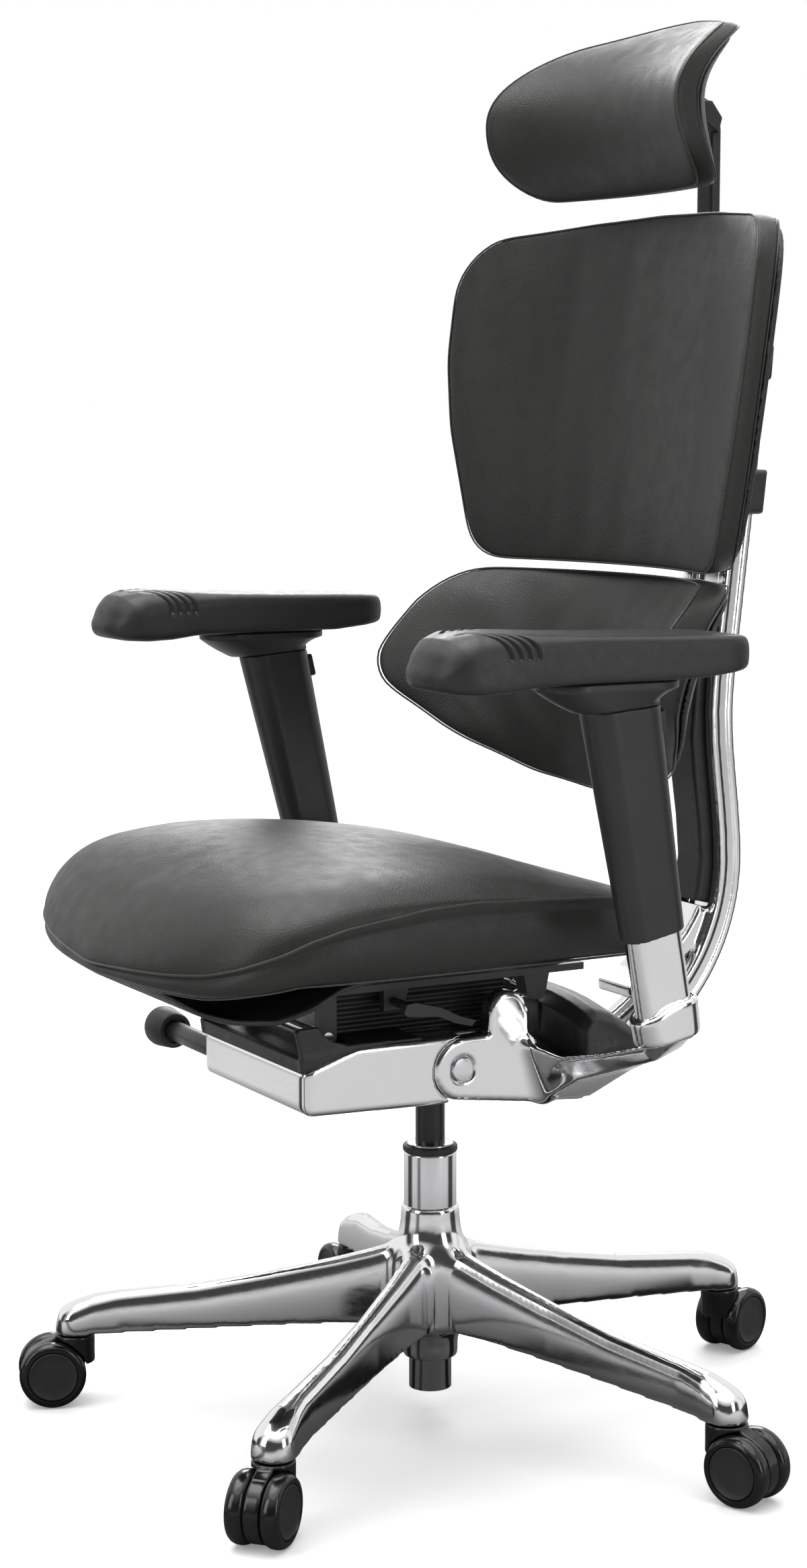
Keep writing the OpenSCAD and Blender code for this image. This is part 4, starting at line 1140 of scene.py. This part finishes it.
def both_arms(name, points, faces, body, slot, node_name):
    """A piece on the left arm and its mirror image on the right."""
    piece(name + "_left", points, faces, body + "left", slot, [node_name + "left"])
    piece(name + "_right", *mirrored(points, faces), body + "right", slot, [node_name + "right"])


def arms():
    for name, field, low, high, step, body, slot, node_name in (
        ("arm_cover", sleeve_field, (294, -40, 500), (346, 71, 714), 1.8,
         "arm_", "satin_plastic", "arm_sleeve_"),
        ("arm_cone", arm_head_field, (288, -92, 695), (356, 62, 729), 1.8,
         "arm_", "satin_plastic", "arm_head_"),
        ("arm_catch", button_field, (308, 22, 662), (336, 46, 704), 1.0,
         "push_", "black_plastic", "arm_button_"),
    ):
        both_arms(name, *implicit(field, low, high, step), body, slot, node_name)
    points, faces = implicit(pad_field, (272, -206, 720), (372, 118, 775), 1.4)
    points = pad_eased(points, faces)
    both_arms("arm_rest", points, faces, "pad_", "soft_arm_pad", "arm_pad_")
    post = implicit(post_field, (292, -17, 419), (338, 84, 650), 1.8)
    piece("arm_tubes", *joined([post, mirrored(*post)]), "yoke", "polished_posts", ["arm_posts"])


# ---- shells and headrest ----

def flat_outline(half):
    """The corners of a panel's smooth outline, from its right half."""
    return [tuple(p) for p in smoothed(both_sides(half), 120, 2.0)]


# each half outline is moved inwards by m

def back_half_outline(m):
    half = [(0, 802 + m)] + arc((180 - m, 842 + m), 40, -90, -15, 6)
    half += [(248 - m, 930), (259 - m, 1000)] + arc((194 - m, 1058 - m), 66, 10, 70, 7)
    return half + [(100, 1129 - m), (0, 1132 - m)]


def lumbar_half_outline(m):
    half = [(0, 588 + m), (90, 598 + m), (165, 626 + m)]
    half += arc((180 - m, 712), 60, -40, 20, 6) + arc((188 - m, 752 - m), 42, 20, 90, 6)
    return half + [(0, 794 - m)]


def head_half_outline(m):
    half = [(0, 1149 + m)] + arc((118 - m, 1195 + m), 46, -90, 0, 6)
    half += arc((104 - m, 1238 - m), 60, 0, 78, 7)
    return half + [(60, 1305 - m), (25, 1309 - m), (0, 1309.5 - m)]


LUMBAR_HEIGHTS = [560, 579, 640, 680, 710, 760, 803, 830]
LUMBAR_OFFSETS = [-4, -5, -10, -5, 2, 20, 44, 56]


def back_offset(z):
    return SPINE_LEAN * (z - 905)


def lumbar_offset(z):
    return np.interp(z, LUMBAR_HEIGHTS, LUMBAR_OFFSETS)


def shell(x, y, z, axis_y, radius, thick, outline):
    """A bowed sheet: the part of a cylinder round (0, axis_y) inside an outline in (x, z)."""
    away = length(x, y - axis_y) - radius
    rim = polygon(x, z, outline)
    return extruded(rim, np.abs(away - 0.4 - thick / 2) - thick / 2, 1.6), away


BACK_RIM = flat_outline(back_half_outline(9))
LUMBAR_RIM = flat_outline(lumbar_half_outline(11))
HEAD_RIM = flat_outline(head_half_outline(11))


GUIDE_SIDE = [(248, 978), (base_y(978) + 4, 978), (base_y(1000) + 4, 1009), (319, 1106), (262, 1106)]


def back_shell_field(x, y, z):
    solid, away = shell(x, y, z, -170, 430 + back_offset(z), 6, BACK_RIM)
    block = np.maximum(y - base_y(z) + 38, 250 - y)
    boss = common(extruded(block, np.abs(z - 871.5) - 21.5, 2), np.abs(x) - 44, 10)
    guide = common(plate(y, z, GUIDE_SIDE, np.abs(x) - 41, 3), np.abs(x) - 41, 10)
    solid = common(merge(merge(solid, boss, 10), guide, 16), 0.4 - away, 0.5)
    post_room = np.maximum(np.abs(x) - 12.9, np.abs(y - 305) - 5.9)
    rail_room = np.maximum(rails_room(x, y, z), z - 1004)
    return without(solid, np.minimum(rail_room, post_room))


def hinged(x, y, z, solid, away, line, pivot, middle, fillet):
    """A shell with two knuckles either side of the midline and a hole for their pin."""
    knuckles = plate(y, z, line, np.abs(np.abs(x) - middle) - 5, 1)
    solid = common(merge(solid, knuckles, fillet), 0.4 - away, 0.4)
    return without(solid, rod(y, z, pivot, 4.05))


def lumbar_shell_field(x, y, z):
    solid, away = shell(x, y, z, -118, 335 + lumbar_offset(z), 5, LUMBAR_RIM)
    line = [(227, 742), (262, 747)] + arc(LUMBAR_PIVOT, 9, -90, 90, 8) + [(242, 770)]
    return hinged(x, y, z, solid, away, line, LUMBAR_PIVOT, 15, 5)


def head_shell_field(x, y, z):
    solid, away = shell(x, y, z, -214, 430 + head_roll(z), 5, HEAD_RIM)
    line = [(222, 1228), (258, 1234)] + arc(TILT_PIVOT, 9, -90, 90, 8) + [(222, 1262)]
    return hinged(x, y, z, solid, away, line, TILT_PIVOT, 16, 6)


def head_post_field(x, y, z):
    bend = (276.5, 1211)
    line = [(299.5, 990), (310.5, 990)] + arc(bend, 34, 0, 80, 12) + arc(bend, 23, 80, 0, 12)
    strap = plate(y, z, line, np.abs(x) - 12.5, 2.5)
    fork = arc(REACH_PIVOT, 9, 90, 270, 10) + [(303, 1209), (307, 1223), (295, 1238)]
    cheeks = plate(y, z, fork, np.abs(np.abs(x) - 15) - 4, 1.2)
    swing = [(294, 1200), (294, 1262), (250, 1262), (250, 1200)]
    link_room = np.minimum(rod(y, z, REACH_PIVOT, 9.8), polygon(y, z, swing))
    solid = without(merge(strap, cheeks, 4), np.maximum(link_room, np.abs(x) - 11))
    return np.minimum(solid, np.maximum(rod(y, z, REACH_PIVOT, 4), np.abs(x) - 19))


def head_link_field(x, y, z):
    line = arc(TILT_PIVOT, 9, 60, 240, 12) + arc(REACH_PIVOT, 9, -120, 60, 12)
    block = plate(y, z, line, np.abs(x) - 10.6, 1.8)
    pin = np.maximum(rod(y, z, TILT_PIVOT, 4), np.abs(x) - 21)
    hole = np.maximum(rod(y, z, REACH_PIVOT, 4.05), np.abs(x) - 11)
    return without(np.minimum(block, pin), hole)


# ---- seat pan ----

PAN_Y = [-302, -297, -288, -272, -250, -226, -196, -150, 64, 116]
PAN_Z = [451, 441, 433, 426.5, 424, 430, 441, 443.5, 443.5, 462]
PAN_THICK = 5


def pan_field(x, y, z):
    rise = np.clip((np.abs(x) - 96) / 100, 0, 1)
    rise = 29 * rise * rise * (3 - 2 * rise) * np.interp(y, [-300, -230, -120], [0.15, 0.5, 1.0])
    line = list(zip(PAN_Y, PAN_Z)) + [(a, b + PAN_THICK) for a, b in zip(PAN_Y, PAN_Z)][::-1]
    sheet = polygon(y, np.minimum(z - rise, 600), line) * 0.9
    front = -300 + 52 * (np.abs(x) / 190) ** 2.6
    plan = common(np.abs(x) - 196, np.maximum(front - y, y - 116), 30)
    return common(np.maximum(sheet, z - 474.4), plan, 1.5)


# ---- pieces cast from one field each ----

STAR_REACH = BASE_R + 22
CASTINGS = (
    # name, field, low and high corners of its box, grid step, body, slot, nodes, smoothing rounds
    ("base_casting", star_field, (-STAR_REACH, -STAR_REACH, 54), (STAR_REACH, STAR_REACH, 208), 2.3,
     "base", "cast_aluminium", ["base_star"], 6),
    ("mechanism_housing", housing_field, (-106, -189, 325), (106, 40, 390), 1.9,
     "lift", "cast_aluminium", ["mech_housing"], 2),
    ("mechanism_cover", cover_field, (-105, -196, 366), (105, -64, 413), 1.6,
     "lift", "black_plastic", ["mech_cover"]),
    ("yoke_cover", yoke_cover_field, (-146, 78, 324), (146, 160, 420), 2.2,
     "yoke", "black_plastic", ()),
    ("yoke_casting", yoke_field, (-345, -56, 308), (345, 148, 462), 1.8,
     "yoke", "cast_aluminium", ["yoke"], 7),
    ("rail_casting", rails_field, (-38, 96, 307), (38, 358, 1003), 1.7,
     "yoke", "cast_aluminium", ["back_rails"], 3),
    ("rail_insert", insert_field, (-24, 274, 462), (24, 318, 739), 1.7,
     "yoke", "black_plastic", ["spine_insert"]),
    ("rail_carriage", carriage_field, (-49, 294, 847), (49, 354, 896), 1.6,
     "back", "black_plastic", ["back_carriage"]),
    ("back_panel", back_shell_field, (-264, 160, 802), (264, 362, 1130), 2.6,
     "back", "black_plastic", ["back_shell"]),
    ("lumbar_panel", lumbar_shell_field, (-234, 110, 592), (234, 274, 790), 2.2,
     "lumbar", "black_plastic", ["lumbar_shell"]),
    ("head_panel", head_shell_field, (-162, 180, 1155), (162, 300, 1306), 2.0,
     "headrest", "grey_plastic", ["head_shell"]),
    ("head_strap", head_post_field, (-20, 272, 988), (20, 313, 1247), 1.4,
     "headrest_post", "black_plastic", ["head_post"]),
    ("head_joint", head_link_field, (-22, 247, 1218), (22, 295, 1254), 1.3,
     "headrest_link", "grey_plastic", ["head_link"]),
    ("seat_tray", pan_field, (-198, -304, 420), (198, 118, 477), 2.2,
     "seat", "black_plastic", ["seat_pan"]),
)


# ---- finish of the carried-over CAD nodes ----

def dress_nodes():
    """Each CAD node that still shows gets its slot's material and small bevels."""
    for material in frame["record"]["materials"]:
        for name in material.get("nodes", []):
            obj = NODES[name]
            obj.data.materials.clear()
            obj.data.materials.append(MATERIALS[material["slot"]])
    for obj in NODES.values():
        if obj.hide_render:
            continue
        weld = obj.modifiers.new("weld", "WELD")
        weld.merge_threshold = 0.00001
        bevel = obj.modifiers.new("edges", "BEVEL")
        bevel.width = 0.0009
        bevel.segments = 2
        bevel.limit_method = "ANGLE"
        bevel.angle_limit = math.radians(32)
        bevel.harden_normals = False
        bevel.use_clamp_overlap = True


# ---- stage ----

# painted dark bands on the floor, which only glossy rays see, standing in for dark flags beyond it; by
# their bearing as a share of a turn
FLOOR_PAINTED_BANDS = [(0.10, 1.0), (0.12, 0.08), (0.175, 0.08), (0.195, 1.0), (0.255, 0.9), (0.272, 0.2),
               (0.292, 0.2), (0.31, 0.9), (0.64, 1.0), (0.66, 0.08), (0.72, 0.08), (0.74, 1.0)]


def floor_painted_shade(tree):
    """The floor as glossy rays see it: a painted shadow, darkest under the chair, and painted dark bands
    at some bearings.
    """
    here = place_in(tree)
    away = node(tree, "VectorMath", {0: here}, operation="LENGTH").outputs["Value"]
    # painted shadow: glossy rays see the floor darker the nearer it lies to the chair
    painted_shadow_under_chair = ramp(tree, maths(tree, "MULTIPLY", away, 0.5), 0.11, 0.44, 0.14, 0.66)
    x, y, _ = split(tree, here)
    bearing = maths(tree, "MULTIPLY_ADD", maths(tree, "ARCTAN2", y, x), 0.5 / math.pi, 0.5)
    # painted reflection: dark bands at some bearings, for the metal to mirror
    flags = ramp(tree, bearing, 1.0, 1.0, 0.0, 1.0, FLOOR_PAINTED_BANDS)
    both = node(tree, "Mix", {}, data_type="RGBA", blend_type="MULTIPLY")
    feed(tree, both, {"Factor": 1.0, "A": painted_shadow_under_chair, "B": flags})
    return both.outputs["Result"]


def by_ray(tree, kind, usual, other):
    """One shader for most rays and another for rays of a kind."""
    path = node(tree, "LightPath", {}).outputs[kind]
    return node(tree, "MixShader", {"Fac": path, 1: usual, 2: other}).outputs["Shader"]


def floor():
    """A large pale floor, greyer to glossy rays: they see a painted shadow under the chair and painted
    dark bands.
    """
    mesh = bpy.data.meshes.new("floor")
    corners = [(x, y, 0) for x, y in oblong(-120.0, 120.0, -120.0, 120.0)]
    mesh.from_pydata(corners, [], [(0, 1, 2, 3)])
    obj = linked("floor", mesh)
    material, tree, shader = new_material("pale_floor")
    feed(tree, shader, {
        "Base Color": ramp(tree, noise(tree, 3.0), 0.88, 0.90),
        "Roughness": 0.9,
        "Specular IOR Level": 0.0,
        "Emission Color": (1, 1, 1, 1),
        "Emission Strength": 0.22,
    })
    # painted shade: glossy rays see this darker floor in place of the pale one
    dark = node(tree, "BsdfDiffuse", {"Color": floor_painted_shade(tree)})
    seen = by_ray(tree, "Is Glossy Ray", shader.outputs["BSDF"], dark.outputs["BSDF"])
    feed(tree, tree.nodes["Material Output"], {"Surface": seen})
    mesh.materials.append(material)


def look_along(obj, direction):
    """Turns a lamp or camera to look along a direction."""
    obj.rotation_mode = "QUATERNION"
    obj.rotation_quaternion = direction.to_track_quat("-Z", "Y")


SOFTBOXES = (
    # name, place, height aimed at, size, power
    ("softbox_top", (-0.3, -0.5, 3.2), 0.6, (2.2, 2.2), 40),
    ("softbox_front", (0.4, -3.4, 1.7), 0.7, (1.2, 2.4), 30),
    ("softbox_rear", (-2.9, 1.8, 2.1), 0.6, (2.0, 1.4), 60),
    ("softbox_side", (3.4, 1.2, 1.3), 0.6, (0.9, 2.2), 22),
)


def lights():
    """Softboxes above, in front, behind and beside the chair, and a wide soft sun."""
    for name, place, height, size, power in SOFTBOXES:
        data = bpy.data.lights.new(name, "AREA")
        data.shape = "RECTANGLE"
        data.size, data.size_y = size
        data.energy = power
        obj = linked(name, data)
        obj.location = place
        look_along(obj, Vector((0, 0, height)) - Vector(place))
    sun = bpy.data.lights.new("sky_light", "SUN")
    sun.energy = 2.1
    sun.angle = math.radians(75)
    linked("sky_light", sun).location = (0, 0, 4)


def room_gloss(tree, x, y, z):
    """The room as gloss sees it: a bright wall behind, dark flags in front, a bright ceiling."""
    across = maths(tree, "MULTIPLY", y, 0.25)
    behind = maths(tree, "ADD", maths(tree, "MULTIPLY_ADD", x, -0.43, 0.5), across)
    turn = maths(tree, "ARCTAN2", y, x)
    stripes = maths(tree, "SINE", maths(tree, "MULTIPLY_ADD", turn, 7.0, 0.4))
    flags = ramp(tree, maths(tree, "MULTIPLY_ADD", stripes, 0.16, behind), 0.05, 0.95, 0.36, 0.62)
    ceiling = ramp(tree, z, 0.0, 1.0, 0.40, 0.72)
    walls = node(tree, "Mix", {}, data_type="RGBA")
    feed(tree, walls, {"Factor": ceiling, "A": flags, "B": (0.9, 0.9, 0.9, 1)})
    return walls.outputs["Result"]


def room():
    """The world: a light sky, walls for glossy rays and plain white for the camera's."""
    world = bpy.data.worlds.new("studio")
    bpy.context.scene.world = world
    world.use_nodes = True
    tree = world.node_tree
    x, y, z = split(tree, place_in(tree, "Generated"))
    usual = tree.nodes["Background"]
    feed(tree, usual, {"Strength": 0.50, "Color": ramp(tree, z, 0.42, 0.95, 0.0, 0.55)})
    glossed = node(tree, "Background", {"Strength": 1.0, "Color": room_gloss(tree, x, y, z)})
    seen = node(tree, "Background", {"Color": (1, 1, 1, 1)})
    mixed = by_ray(tree, "Is Glossy Ray", usual.outputs["Background"], glossed.outputs["Background"])
    mixed = by_ray(tree, "Is Camera Ray", mixed, seen.outputs["Background"])
    feed(tree, tree.nodes["World Output"], {"Surface": mixed})
    bpy.context.scene.view_settings.view_transform = "Standard"


def camera():
    """The photograph's view: a long lens, a little above the arms, from the sitter's left front."""
    azimuth, pitch, distance = math.radians(60.5), math.radians(8.122), 2.7175
    back = Vector((math.sin(azimuth) * math.cos(pitch), -math.cos(azimuth) * math.cos(pitch),
                   math.sin(pitch)))
    data = bpy.data.cameras.new("camera")
    data.sensor_fit = "VERTICAL"
    data.sensor_height = 36
    data.sensor_width = 36
    data.lens = 66.96
    data.shift_x = -0.0170
    data.shift_y = 0.0305
    obj = linked("camera", data)
    obj.location = Vector((0, 0, 0.560)) + back * distance
    look_along(obj, -back)
    bpy.context.scene.camera = obj


camera()
floor()
lights()
room()
back_cushion()
lumbar_cushion()
head_cushion()
seat_cushion()
column()
casters()
mechanism()
shade_sheet()
arms()
for casting in CASTINGS:
    cast(*casting)
dress_nodes()
